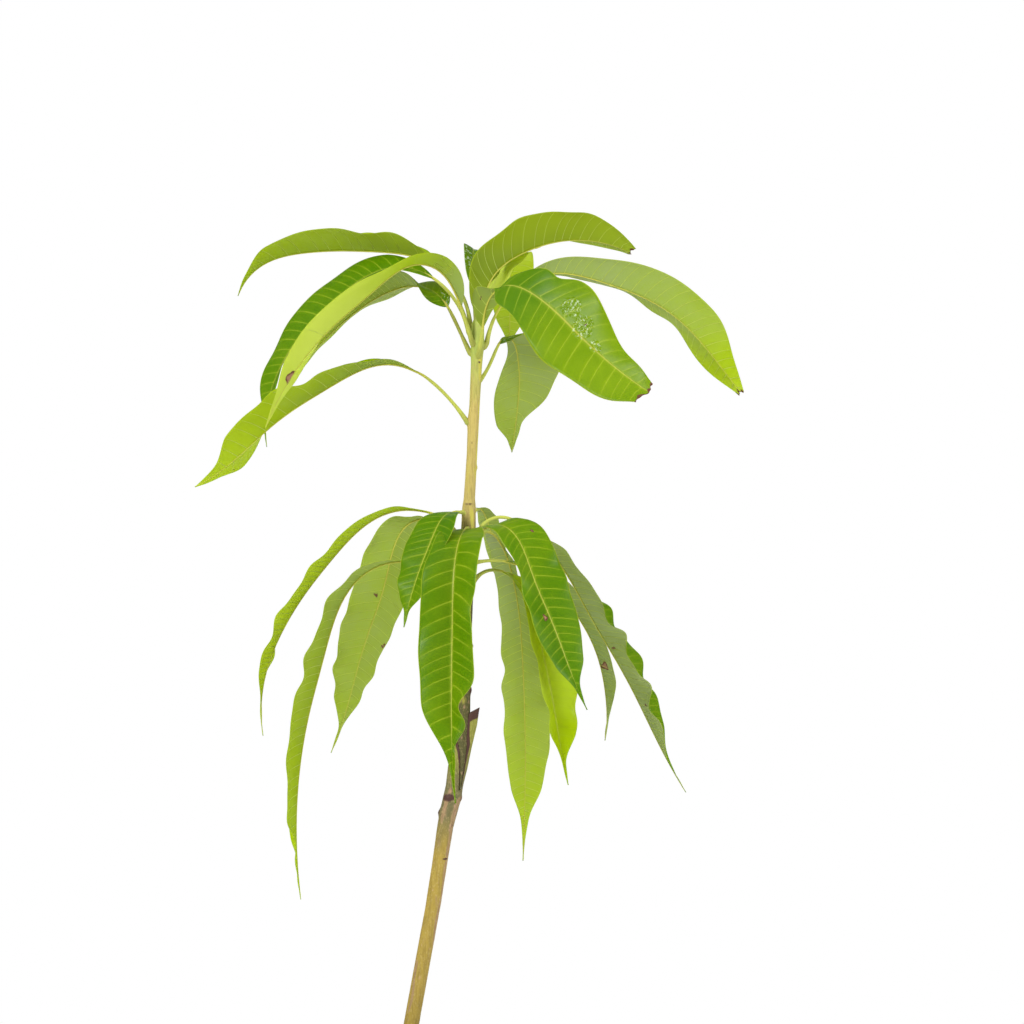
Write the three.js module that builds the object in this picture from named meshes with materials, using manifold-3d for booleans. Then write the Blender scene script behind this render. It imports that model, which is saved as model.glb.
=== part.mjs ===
// Mango tree sapling: a young grafted mango in a plain nursery pot.
// Millimetres, +Z up. The origin is the centre of the pot's flat underside.
// Headings are degrees turned from +X towards +Y. Climbs are degrees above the level.
import * as THREE from 'three';
import { mergeVertices } from 'three/addons/utils/BufferGeometryUtils.js';
import Module from 'manifold-3d';

const wasm = await Module();
wasm.setup();

const CLEARANCE = 0.3;

// Pot
const POT_HEIGHT = 192;
const POT_FOOT_RADIUS = 84;
const POT_TOP_RADIUS = 106;
const POT_WALL = 2.4;
const POT_FLOOR = 3.2;
const POT_BEVEL = 3;
const RIM_DEPTH = 15;
const RIM_OVERHANG = 5;
const RIM_EASE = 1.6;
const POT_SIDES = 48;
const DRAIN_HOLES = 6;
const DRAIN_RADIUS = 7;
const DRAIN_CIRCLE = 62;

// Soil
const SOIL_LEVEL = 178;
const SOIL_HOLLOW = 4;
const SOIL_FLAT_RADIUS = 30;

// Stems
const STEM_SIDES = 16;
const CLEFT_CLEARANCE = 0.3;

// Rootstock, from its flat cut at the soil to the slanted top of its longer graft flap.
// across and deep are half widths along X and Y; lean is how far its middle has moved along X.
const ROOTSTOCK = [
  { height: SOIL_LEVEL + CLEARANCE, lean: 0, across: 9.2, deep: 8.8 },
  { height: 186, lean: 1.5, across: 7.6, deep: 7.4 },
  { height: 205, lean: 5, across: 6.8, deep: 6.6 },
  { height: 230, lean: 9.8, across: 6.6, deep: 6.4 },
  { height: 332, lean: 28.5, across: 6.4, deep: 6.3 },
  { height: 370, lean: 34.4, across: 6.5, deep: 6.3 },
  { height: 396, lean: 38.4, across: 6.9, deep: 6.3 },
  { height: 410, lean: 41.5, across: 7.7, deep: 6.1 },
  { height: 421, lean: 44.2, across: 7.8, deep: 5.8 },
  { height: 432, lean: 46.4, across: 7.4, deep: 5.4 },
  { height: 449, lean: 49.4, across: 8.5, deep: 5.2 },
  { height: 466, lean: 54, across: 7.4, deep: 5.1 },
  { height: 483, lean: 59.2, across: 6.2, deep: 5 },
  { height: 495, lean: 62, across: 5.8, deep: 4.8, tilt: 28 },
];

// Scion, from the foot of its wedge in the cleft to the bud at the top of the shoot.
const SCION = [
  { height: 428, lean: 51, across: 0.5, deep: 5.7 },
  { height: 449, lean: 52.7, across: 2.6, deep: 5.8 },
  { height: 466, lean: 53.6, across: 5.1, deep: 5.8 },
  { height: 487, lean: 53.7, across: 5.9, deep: 5.9 },
  { height: 547, lean: 54.6, across: 5.8, deep: 5.8 },
  { height: 598, lean: 56.3, across: 6.2, deep: 6.2 },
  { height: 640, lean: 57.8, across: 6.4, deep: 6.4 },
  { height: 668, lean: 58.7, across: 5.8, deep: 5.8 },
  { height: 676, lean: 59, across: 4.8, deep: 4.8 },
  { height: 713, lean: 61.2, across: 4.5, deep: 4.5 },
  { height: 742, lean: 62.4, across: 4.8, deep: 4.8 },
  { height: 755, lean: 63.4, across: 4.4, deep: 4.4 },
  { height: 789, lean: 65, across: 4.8, deep: 4.8 },
  { height: 808, lean: 66, across: 5.6, deep: 5.6 },
  { height: 824, lean: 66.3, across: 5.2, deep: 5.2 },
  { height: 830, lean: 66.4, across: 3, deep: 3 },
  { height: 837, lean: 66.4, across: 0.9, deep: 0.9 },
];

// Leaves
const PETIOLE_STEPS = 4;
const BLADE_STEPS = 16;
const ROWS = 5;
const PETIOLE_FOOT_RADIUS = 2.3;
const PETIOLE_FOOT_SHARE = 1 / 3;
const PETIOLE_RADIUS = 1.6;
const THICKNESS_SHARE = 1 / 100;
const OUTLINE_FULLNESS = 0.7;
const DRIP_TIP_LOSS = 0.65;
const DRIP_TIP_SHARPNESS = 8;
const TIP_HALF_WIDTH = 0.9;

// Shares of the blade over which the stalk's width and depth die away and the fold begins.
const STALK_WIDTH_EASE = 1 / 8;
const STALK_DEPTH_EASE = 1 / 3;
const FOLD_EASE = 1 / 6;

const ROLL_KNOTS = [0, 0.25, 0.5, 1];
const FOLD_KNOTS = [0, 0.5, 1];

// Each leaf leaves the stem at height. heading and climb are its direction at the foot of the
// petiole, the foot of the blade, its quarters and its tip. roll lifts the side that lies left of
// its run, at ROLL_KNOTS of the blade. fold raises both halves over the midrib and skew widens the
// left half at the cost of the right, at FOLD_KNOTS.
const LEAVES = [
  { name: 'upper_leaf_1', height: 823, petiole: 42, blade: 210, width: 54, belly: 0.5,
    heading: [150, 165, 172, 174, 172, 170], climb: [86, 50, 9, 0, -15, -70],
    roll: [0, 0, 0, 0], fold: [30, 38, 40], skew: [0, 0, 0] },
  { name: 'upper_leaf_2', height: 817, petiole: 56, blade: 238, width: 54, belly: 0.42,
    heading: [188, 181, 174, 173, 177, 185], climb: [78, 34, -28, -46, -68, -98],
    roll: [-20, -28, -32, -28], fold: [15, 15, 15], skew: [0, 0, 0] },
  { name: 'upper_leaf_3', height: 810, petiole: 50, blade: 238, width: 46, belly: 0.45,
    heading: [225, 210, 205, 205, 205, 205], climb: [64, 53, -30, -40, -53, -68],
    roll: [0, 15, 20, 30], fold: [15, 28, 25], skew: [0, 0, 0] },
  { name: 'upper_leaf_4', height: 802, petiole: 42, blade: 196, width: 50, belly: 0.45,
    heading: [165, 155, 162, 165, 160, 150], climb: [65, 56, -8, -33, -44, -62],
    roll: [-70, 20, 20, 20], fold: [10, 30, 30], skew: [0, 0, 0] },
  { name: 'upper_leaf_5', height: 825, petiole: 28, blade: 164, width: 50, belly: 0.42, torn: 0.94,
    heading: [62, 58, 31, 25, 22, 20], climb: [96, 61, 32, 15, -4, -26],
    roll: [-35, -35, -30, -30], fold: [25, 35, 25], skew: [0, 0, 0] },
  { name: 'upper_leaf_6', height: 800, petiole: 34, blade: 214, width: 70, belly: 0.5, torn: 0.9,
    heading: [285, 295, 318, 325, 325, 325], climb: [60, 64, -15, -40, -37, -30],
    roll: [0, 48, 60, 55], fold: [8, 8, 8], skew: [0.1, 0.1, -0.5] },
  { name: 'upper_leaf_7', height: 808, petiole: 44, blade: 240, width: 54, belly: 0.66, torn: 0.97,
    heading: [20, 12, 8, 8, 12, 20], climb: [74, 41, -6, -21, -46, -50],
    roll: [0, -35, -35, -50], fold: [10, 35, 20], skew: [-0.2, -0.1, 0.1] },
  { name: 'upper_leaf_8', height: 817, petiole: 38, blade: 170, width: 42, belly: 0.4,
    heading: [84, 82, 79, 74, 72, 72], climb: [70, 38, 26, -46, -62, -40],
    roll: [0, 0, 0, 0], fold: [15, 15, 15], skew: [0, 0, 0] },
  { name: 'upper_leaf_9', height: 775, petiole: 48, blade: 134, width: 52, belly: 0.46,
    heading: [65, 55, 60, 95, 105, 95], climb: [30, 48, -64, -65, -65, -40],
    roll: [0, 0, 0, 0], fold: [10, 10, 10], skew: [-0.85, -0.2, 0.6] },
  { name: 'upper_leaf_10', height: 743, petiole: 52, blade: 228, width: 58, belly: 0.66,
    heading: [187, 188, 188, 191, 193, 199], climb: [56, 33, -24, -33, -43, -28],
    roll: [0, 0, 15, 65], fold: [40, 32, 5], skew: [0, 0, 0] },
  { name: 'upper_leaf_11', height: 828, petiole: 36, blade: 140, width: 28, belly: 0.45,
    heading: [106, 98, 93, 91, 91, 91], climb: [56, 46, 36, 0, -30, -40],
    roll: [0, 0, 0, 0], fold: [22, 22, 22], skew: [0, 0, 0] },
  { name: 'lower_leaf_1', height: 644, petiole: 30, blade: 268, width: 38, belly: 0.45,
    heading: [175, 178, 180, 179, 170, 160], climb: [61, 21, -41, -54, -70, -100],
    roll: [0, 0, 0, 0], fold: [20, 25, 18], skew: [0, 0, 0] },
  { name: 'lower_leaf_2', height: 637, petiole: 34, blade: 254, width: 54, belly: 0.48,
    heading: [135, 138, 143, 152, 157, 160], climb: [34, 24, -68, -67, -74, -66],
    roll: [0, 30, 30, 20], fold: [10, 10, 10], skew: [0, 0, 0] },
  { name: 'lower_leaf_3', height: 598, petiole: 41, blade: 335, width: 46, belly: 0.5,
    heading: [185, 185, 188, 190, 200, 210], climb: [56, 14, -66, -76, -87, -98],
    roll: [0, 0, 0, 0], fold: [25, 28, 28], skew: [0, 0, 0] },
  { name: 'lower_leaf_4', height: 664, petiole: 11, blade: 124, width: 44, belly: 0.42,
    heading: [222, 236, 236, 232, 228, 225], climb: [0, 0, -50, -58, -67, -75],
    roll: [0, 0, 0, 0], fold: [10, 10, 10], skew: [0, 0, 0] },
  { name: 'lower_leaf_5', height: 667, petiole: 36, blade: 230, width: 59, belly: 0.45,
    heading: [264, 258, 262, 267, 277, 292], climb: [-10, -50, -80, -82, -82, -72],
    roll: [10, 22, 24, 20], fold: [20, 25, 20], skew: [0, 0, 0] },
  { name: 'lower_leaf_6', height: 634, petiole: 40, blade: 288, width: 46, belly: 0.54,
    heading: [50, 50, 47, 62, 100, 112], climb: [76, -42, -80, -86, -86, -84],
    roll: [0, 0, 0, 0], fold: [10, 10, 10], skew: [0.45, 0, -0.2] },
  { name: 'lower_leaf_7', height: 643, petiole: 26, blade: 192, width: 53, belly: 0.42,
    heading: [305, 308, 324, 334, 335, 335], climb: [26, 13, -62, -64, -68, -62],
    roll: [0, 28, 34, 34], fold: [12, 12, 12], skew: [0, 0, 0] },
  { name: 'lower_leaf_8', height: 606, petiole: 32, blade: 196, width: 44, belly: 0.52,
    heading: [322, 325, 322, 324, 328, 330], climb: [48, -14, -70, -75, -79, -75],
    roll: [0, 20, 20, 20], fold: [30, 38, 25], skew: [0, 0, 0] },
  { name: 'lower_leaf_9', height: 647, petiole: 36, blade: 284, width: 48, belly: 0.52,
    heading: [0, 10, 16, 18, 12, 8], climb: [68, -22, -58, -58, -64, -58],
    roll: [0, 0, 0, 0], fold: [30, 36, 30], skew: [-0.4, -0.1, 0] },
  { name: 'lower_leaf_10', height: 621, petiole: 30, blade: 216, width: 34, belly: 0.55,
    heading: [34, 33, 28, 28, 42, 72], climb: [10, -6, -40, -56, -70, -64],
    roll: [0, 0, 0, 0], fold: [30, 40, 30], skew: [0, 0, 0] },
  { name: 'lower_leaf_11', height: 654, petiole: 30, blade: 108, width: 34, belly: 0.45,
    heading: [82, 76, 68, 68, 74, 80], climb: [28, 16, -42, -56, -62, -50],
    roll: [0, 0, 0, 0], fold: [10, 10, 10], skew: [0, 0, 0] },
];

const COLOURS = {
  pot: { color: 0x26282a, roughness: 0.5, metalness: 0 },
  soil: { color: 0x3a2a1e, roughness: 0.95, metalness: 0 },
  rootstock: { color: 0x7c6a45, roughness: 0.8, metalness: 0 },
  scion: { color: 0x6f6a3c, roughness: 0.7, metalness: 0 },
  leaf: { color: 0x5f8f1d, roughness: 0.4, metalness: 0 },
};

const radians = THREE.MathUtils.degToRad;

// Value of a smooth curve through (knots, values) at a place between them.
function smooth(knots, values, place) {
  const last = knots.length - 1;
  const slope = (i) => {
    const a = Math.max(i - 1, 0);
    const b = Math.min(i + 1, last);
    return (values[b] - values[a]) / (knots[b] - knots[a]);
  };
  let i = 0;
  while (i < last - 1 && place > knots[i + 1]) i++;
  const span = knots[i + 1] - knots[i];
  const t = (place - knots[i]) / span;
  const rise = t * t * (3 - 2 * t);
  const bow = t * (1 - t) * span;
  return values[i] * (1 - rise) + values[i + 1] * rise
    + bow * (slope(i) * (1 - t) - slope(i + 1) * t);
}

// Middle and half widths of a stem at a height, on the straight runs between its stations.
function stemAt(stations, height) {
  let i = 0;
  while (i < stations.length - 2 && height > stations[i + 1].height) i++;
  const a = stations[i];
  const b = stations[i + 1];
  const share = (height - a.height) / (b.height - a.height);
  const mix = (key) => THREE.MathUtils.lerp(a[key], b[key], share);
  return { lean: mix('lean'), across: mix('across'), deep: mix('deep') };
}

// Closed skin over rings of 2 * rows points, each an upper row and the lower row back under it.
function skin(rings, rows) {
  const count = 2 * rows;
  const indices = [];
  const quad = (a, b, c, d) => indices.push(a, b, c, a, c, d);
  for (let r = 0; r < rings.length - 1; r++) {
    for (let i = 0; i < count; i++) {
      const here = r * count;
      const next = here + count;
      const j = (i + 1) % count;
      quad(here + i, here + j, next + j, next + i);
    }
  }
  const end = (rings.length - 1) * count;
  for (let i = 0; i < rows - 1; i++) {
    const under = count - 1 - i;
    quad(i, under, under - 1, i + 1);
    quad(end + i, end + i + 1, end + under - 1, end + under);
  }
  const geometry = new THREE.BufferGeometry();
  const positions = rings.flat().flatMap((point) => point.toArray());
  geometry.setAttribute('position', new THREE.Float32BufferAttribute(positions, 3));
  geometry.setIndex(indices);
  return geometry;
}

function stemRing(station, growth) {
  const ring = [];
  for (let i = 0; i < STEM_SIDES; i++) {
    const turn = (2 * Math.PI * (i + 0.5)) / STEM_SIDES;
    const x = (station.across + growth) * Math.cos(turn);
    const y = (station.deep + growth) * Math.sin(turn);
    const rise = x * Math.tan(radians(station.tilt ?? 0));
    ring.push(new THREE.Vector3(station.lean + x, y, station.height + rise));
  }
  return ring;
}

function stemGeometry(stations, growth = 0) {
  return skin(stations.map((station) => stemRing(station, growth)), STEM_SIDES / 2);
}

// Distances along a leaf at which its direction is given.
function leafKnots(leaf) {
  const shares = [0, 0.25, 0.5, 0.75, 1];
  return [0, ...shares.map((share) => leaf.petiole + share * leaf.blade)];
}

// Half width of the blade, as a share of its widest, which lies at belly. A torn leaf stops short.
function bladeOutline(leaf, share) {
  const along = share * (leaf.torn ?? 1);
  const lean = Math.log(0.5) / Math.log(leaf.belly);
  const full = Math.sin(Math.PI * along ** lean) ** OUTLINE_FULLNESS;
  return full * (1 - DRIP_TIP_LOSS * along ** DRIP_TIP_SHARPNESS);
}

function petioleRadius(distance, petiole) {
  const share = Math.min(1, distance / (petiole * PETIOLE_FOOT_SHARE));
  return THREE.MathUtils.lerp(PETIOLE_FOOT_RADIUS, PETIOLE_RADIUS, share);
}

function leafDirection(leaf, distance) {
  const knots = leafKnots(leaf);
  const climb = radians(smooth(knots, leaf.climb, distance));
  const heading = radians(smooth(knots, leaf.heading, distance));
  const level = Math.cos(climb);
  const along = new THREE.Vector3(
    level * Math.cos(heading), level * Math.sin(heading), Math.sin(climb));
  const left = new THREE.Vector3(-Math.sin(heading), Math.cos(heading), 0);
  return { along, left };
}

function leafFoot(leaf) {
  const stem = stemAt(SCION, leaf.height);
  const heading = radians(leaf.heading[0]);
  const lift = Math.abs(Math.sin(radians(leaf.climb[0])));
  const reach = stem.across + CLEARANCE + PETIOLE_FOOT_RADIUS * lift;
  return new THREE.Vector3(
    stem.lean + reach * Math.cos(heading), reach * Math.sin(heading), leaf.height);
}

function leafStations(leaf) {
  const distances = [];
  for (let i = 0; i < PETIOLE_STEPS; i++) distances.push((leaf.petiole * i) / PETIOLE_STEPS);
  for (let i = 0; i <= BLADE_STEPS; i++) {
    distances.push(leaf.petiole + (leaf.blade * i) / BLADE_STEPS);
  }
  return distances;
}

function leafRing(leaf, distance, middle) {
  const { along, left } = leafDirection(leaf, distance);
  const share = Math.max(0, (distance - leaf.petiole) / leaf.blade);
  const roll = radians(smooth(ROLL_KNOTS, leaf.roll, share));
  const up = new THREE.Vector3().crossVectors(along, left);
  const side = left.clone().multiplyScalar(Math.cos(roll)).addScaledVector(up, Math.sin(roll));
  const face = new THREE.Vector3().crossVectors(along, side);
  const stalk = petioleRadius(Math.min(distance, leaf.petiole), leaf.petiole);
  const onBlade = distance > leaf.petiole;
  const bladeHalf = Math.max((leaf.width / 2) * bladeOutline(leaf, share), TIP_HALF_WIDTH);
  const halfWidth = onBlade ? Math.max(bladeHalf, stalk * (1 - share / STALK_WIDTH_EASE)) : stalk;
  const sheet = ((leaf.petiole + leaf.blade) * THICKNESS_SHARE) / 2;
  const halfThickness = onBlade ? Math.max(sheet, stalk * (1 - share / STALK_DEPTH_EASE)) : stalk;
  const fold = radians(smooth(FOLD_KNOTS, leaf.fold, share)) * Math.min(1, share / FOLD_EASE);
  const skew = onBlade ? smooth(FOLD_KNOTS, leaf.skew, share) : 0;
  const edge = Math.cos(Math.PI / (2 * ROWS));
  const ring = [];
  for (let i = 0; i < 2 * ROWS; i++) {
    const turn = Math.PI - (Math.PI * (i + 0.5)) / ROWS;
    const reach = -Math.cos(turn) / edge;
    const out = reach * halfWidth * (1 + Math.sign(reach) * skew);
    const over = halfThickness * Math.cbrt(Math.sin(turn)) + Math.abs(out) * Math.sin(fold);
    ring.push(middle.clone()
      .addScaledVector(side, out * Math.cos(fold))
      .addScaledVector(face, over));
  }
  return ring;
}

function leafGeometry(leaf) {
  const distances = leafStations(leaf);
  const middle = leafFoot(leaf);
  const rings = distances.map((distance, i) => {
    if (i > 0) {
      const before = distances[i - 1];
      const { along } = leafDirection(leaf, (before + distance) / 2);
      middle.addScaledVector(along, distance - before);
    }
    return leafRing(leaf, distance, middle);
  });
  return skin(rings, ROWS);
}

function toManifold(geometry) {
  const bare = geometry.clone();
  bare.deleteAttribute('normal');
  bare.deleteAttribute('uv');
  const merged = mergeVertices(bare);
  const corners = Array.from(merged.index.array);
  const kept = [];
  for (let i = 0; i < corners.length; i += 3) {
    const [a, b, c] = corners.slice(i, i + 3);
    if (a !== b && b !== c && c !== a) kept.push(a, b, c);
  }
  return new wasm.Manifold(new wasm.Mesh({
    numProp: 3,
    vertProperties: Float32Array.from(merged.attributes.position.array),
    triVerts: Uint32Array.from(kept),
  }));
}

function fromManifold(solid) {
  const mesh = solid.getMesh();
  const geometry = new THREE.BufferGeometry();
  geometry.setAttribute('position', new THREE.BufferAttribute(mesh.vertProperties, 3));
  geometry.setIndex(new THREE.BufferAttribute(mesh.triVerts, 1));
  return geometry;
}

function turned(profile) {
  const points = profile.map(([radius, height]) => new THREE.Vector2(radius, height));
  return new THREE.LatheGeometry(points, POT_SIDES).rotateX(Math.PI / 2);
}

// Outer wall radius of the pot at a height.
function potRadius(height) {
  return THREE.MathUtils.lerp(POT_FOOT_RADIUS, POT_TOP_RADIUS, height / POT_HEIGHT);
}

function potGeometry() {
  const rimFoot = POT_HEIGHT - RIM_DEPTH;
  const rimRadius = POT_TOP_RADIUS + RIM_OVERHANG;
  const shell = toManifold(turned([
    [0, 0],
    [potRadius(0) - POT_BEVEL, 0],
    [potRadius(POT_BEVEL), POT_BEVEL],
    [potRadius(rimFoot), rimFoot],
    [rimRadius - RIM_EASE, rimFoot],
    [rimRadius, rimFoot + RIM_EASE],
    [rimRadius, POT_HEIGHT - RIM_EASE],
    [rimRadius - RIM_EASE, POT_HEIGHT],
    [potRadius(POT_HEIGHT) - POT_WALL + RIM_EASE, POT_HEIGHT],
    [potRadius(POT_HEIGHT) - POT_WALL, POT_HEIGHT - RIM_EASE],
    [potRadius(POT_FLOOR) - POT_WALL, POT_FLOOR],
    [0, POT_FLOOR],
  ]));
  let pot = shell;
  for (let i = 0; i < DRAIN_HOLES; i++) {
    const turn = (2 * Math.PI * i) / DRAIN_HOLES;
    const plug = new THREE.CylinderGeometry(DRAIN_RADIUS, DRAIN_RADIUS, 3 * POT_FLOOR, 16)
      .rotateX(Math.PI / 2)
      .translate(DRAIN_CIRCLE * Math.cos(turn), DRAIN_CIRCLE * Math.sin(turn), POT_FLOOR / 2);
    pot = pot.subtract(toManifold(plug));
  }
  return fromManifold(pot);
}

// Potting soil: level round the stem, a little lower where it meets the wall.
function soilGeometry() {
  const foot = POT_FLOOR + CLEARANCE;
  const wall = (height) => potRadius(height) - POT_WALL - CLEARANCE;
  const brink = SOIL_LEVEL - SOIL_HOLLOW;
  return turned([
    [0, foot],
    [wall(foot) - CLEARANCE, foot],
    [wall(brink), brink],
    [(wall(brink) + SOIL_FLAT_RADIUS) / 2, SOIL_LEVEL - SOIL_HOLLOW / 3],
    [SOIL_FLAT_RADIUS, SOIL_LEVEL],
    [0, SOIL_LEVEL],
  ]);
}

// Rootstock with its cleft, cut to the scion's wedge and kept clear of it.
function rootstockGeometry() {
  const stock = toManifold(stemGeometry(ROOTSTOCK));
  const cleft = toManifold(stemGeometry(SCION, CLEFT_CLEARANCE));
  return fromManifold(stock.subtract(cleft));
}

const sapling = new THREE.Group();

function addPiece(name, geometry, look) {
  const mesh = new THREE.Mesh(geometry, new THREE.MeshStandardMaterial(look));
  mesh.name = name;
  sapling.add(mesh);
}

addPiece('pot', potGeometry(), COLOURS.pot);
addPiece('soil', soilGeometry(), COLOURS.soil);
addPiece('rootstock', rootstockGeometry(), COLOURS.rootstock);
addPiece('scion', stemGeometry(SCION), COLOURS.scion);
for (const leaf of LEAVES) addPiece(leaf.name, leafGeometry(leaf), COLOURS.leaf);

export default sapling;
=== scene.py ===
"""Dresses the solid model of a young grafted mango tree in its nursery pot."""

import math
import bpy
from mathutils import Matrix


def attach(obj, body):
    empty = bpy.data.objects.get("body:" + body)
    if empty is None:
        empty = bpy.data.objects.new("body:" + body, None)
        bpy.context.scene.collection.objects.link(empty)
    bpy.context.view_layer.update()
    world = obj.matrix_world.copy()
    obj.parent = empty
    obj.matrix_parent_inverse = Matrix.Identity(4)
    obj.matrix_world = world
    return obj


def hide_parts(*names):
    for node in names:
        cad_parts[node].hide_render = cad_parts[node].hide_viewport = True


bl_info = {
    "name": "Mango Sapling",
    "version": (1, 0, 0),
    "blender": (4, 5, 0),
    "location": "View3D > Sidebar > Sapling",
    "description": "Gives a mango sapling's solids their leaves, bark, pot and potting mix",
    "category": "Object",
}

import bpy
import numpy as np
from bpy.props import FloatProperty, FloatVectorProperty, IntProperty, PointerProperty
from mathutils import Vector, noise

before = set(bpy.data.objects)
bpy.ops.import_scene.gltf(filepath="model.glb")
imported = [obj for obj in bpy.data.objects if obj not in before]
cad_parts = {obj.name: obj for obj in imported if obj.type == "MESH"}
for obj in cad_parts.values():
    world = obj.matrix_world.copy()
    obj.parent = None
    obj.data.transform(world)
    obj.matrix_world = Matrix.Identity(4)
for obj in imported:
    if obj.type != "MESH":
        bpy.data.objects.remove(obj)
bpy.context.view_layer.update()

MM = 0.001
BODY = "root"

# ---------------------------------------------------------------- leaves, in millimetres

PETIOLE_FOOT_RADIUS = 2.3
PETIOLE_RADIUS = 1.6
PETIOLE_FOOT_SHARE = 1 / 3
PETIOLE_END_LOSS = 0.35
PETIOLE_STAIN_REACH = 9
ROOT_DEPTH = 1.2
ROOT_DROP = 1
STEEP_ROOT_DROP = 3
ROOT_SWELL = (0.7, 0.5)
CLEARANCE = 0.3
MIDRIB_TIP_RADIUS = 0.2
MIDRIB_GAIN = 0.5
MIDRIB_STRIDE = 3
MIDRIB_SINK = 0.8
MIDRIB_POWERS = (1.1, 14)

OUTLINE_POWER = 0.7
TIP_LOSS = 0.65
TIP_SHARPNESS = 8
DRIP = 0.45
TAPER = (0.79, 0.91)
LEAST_HALF_WIDTH = 0.5
RUN_KNOTS = [0, 0.25, 0.5, 0.75, 1]
ROLL_KNOTS = [0, 0.25, 0.5, 1]
FOLD_KNOTS = [0, 0.5, 1]
FOLD_EASE = 1 / 6
TORN_FROM = 0.9
TORN_DEPTH = 1.7
TORN_WAVES = ((1.3, 4.2, 5), (0.4, 13, 0))
MARGIN_THINNING = 0.6
FOLD_CURL = 0.3
SEED_STEP = 0.381966

# Side veins: how their spacing grows with the blade, how they lean and bend towards its tip, the
# share, pace and shift of their wandering, and how far the left ones stand between the right.
USUAL_WIDTH = 50
SPACING_POWER = 0.8
VEIN_LEAN = 0.36
VEIN_BEND = 0.1
VEIN_WANDERING = ((0.26, 2.3, 1), (0.1, 7.1, 3))
VEIN_STAGGER = 0.45
VEIN_SPAN = (0.02, 0.94)
VEIN_POINTS = 9
VEIN_SEARCH_STEPS = 12
VEIN_LAST_SHARE = 0.985
VEIN_LEAST_POINTS = 4
VEIN_END_RADIUS = 0.12
VEIN_GAIN = 0.17
VEIN_SINK = 0.13

# Waves of the margin: how far the left ones run ahead, how much and how fast they swell and ebb,
# the share and pace of the small ones among them, and how sharply they rise towards the margin.
WAVE_LEAD = 0.37
WAVE_SWELL = 0.38
SWELL_PACE = 0.23
SMALL_WAVE = 0.4
SMALL_WAVE_PACE = 1.63
WAVE_RISE = 2.4

PETIOLE_STEPS = 12
BLADE_STEPS = 150
BLADE_COLUMNS = 27

FLAT = [0, 0, 0, 0]
EVEN = [0, 0, 0]


def leaf_rule(name, sizes, heading, climb, fold, roll=FLAT, skew=EVEN, **more):
    """What makes a leaf. Its sizes are its height on the scion, petiole, blade, width and belly."""
    keys = ("height", "petiole", "blade", "width", "belly")
    return dict(zip(keys, sizes), name=name, heading=heading, climb=climb, fold=fold, roll=roll,
                skew=skew, **more)


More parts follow.
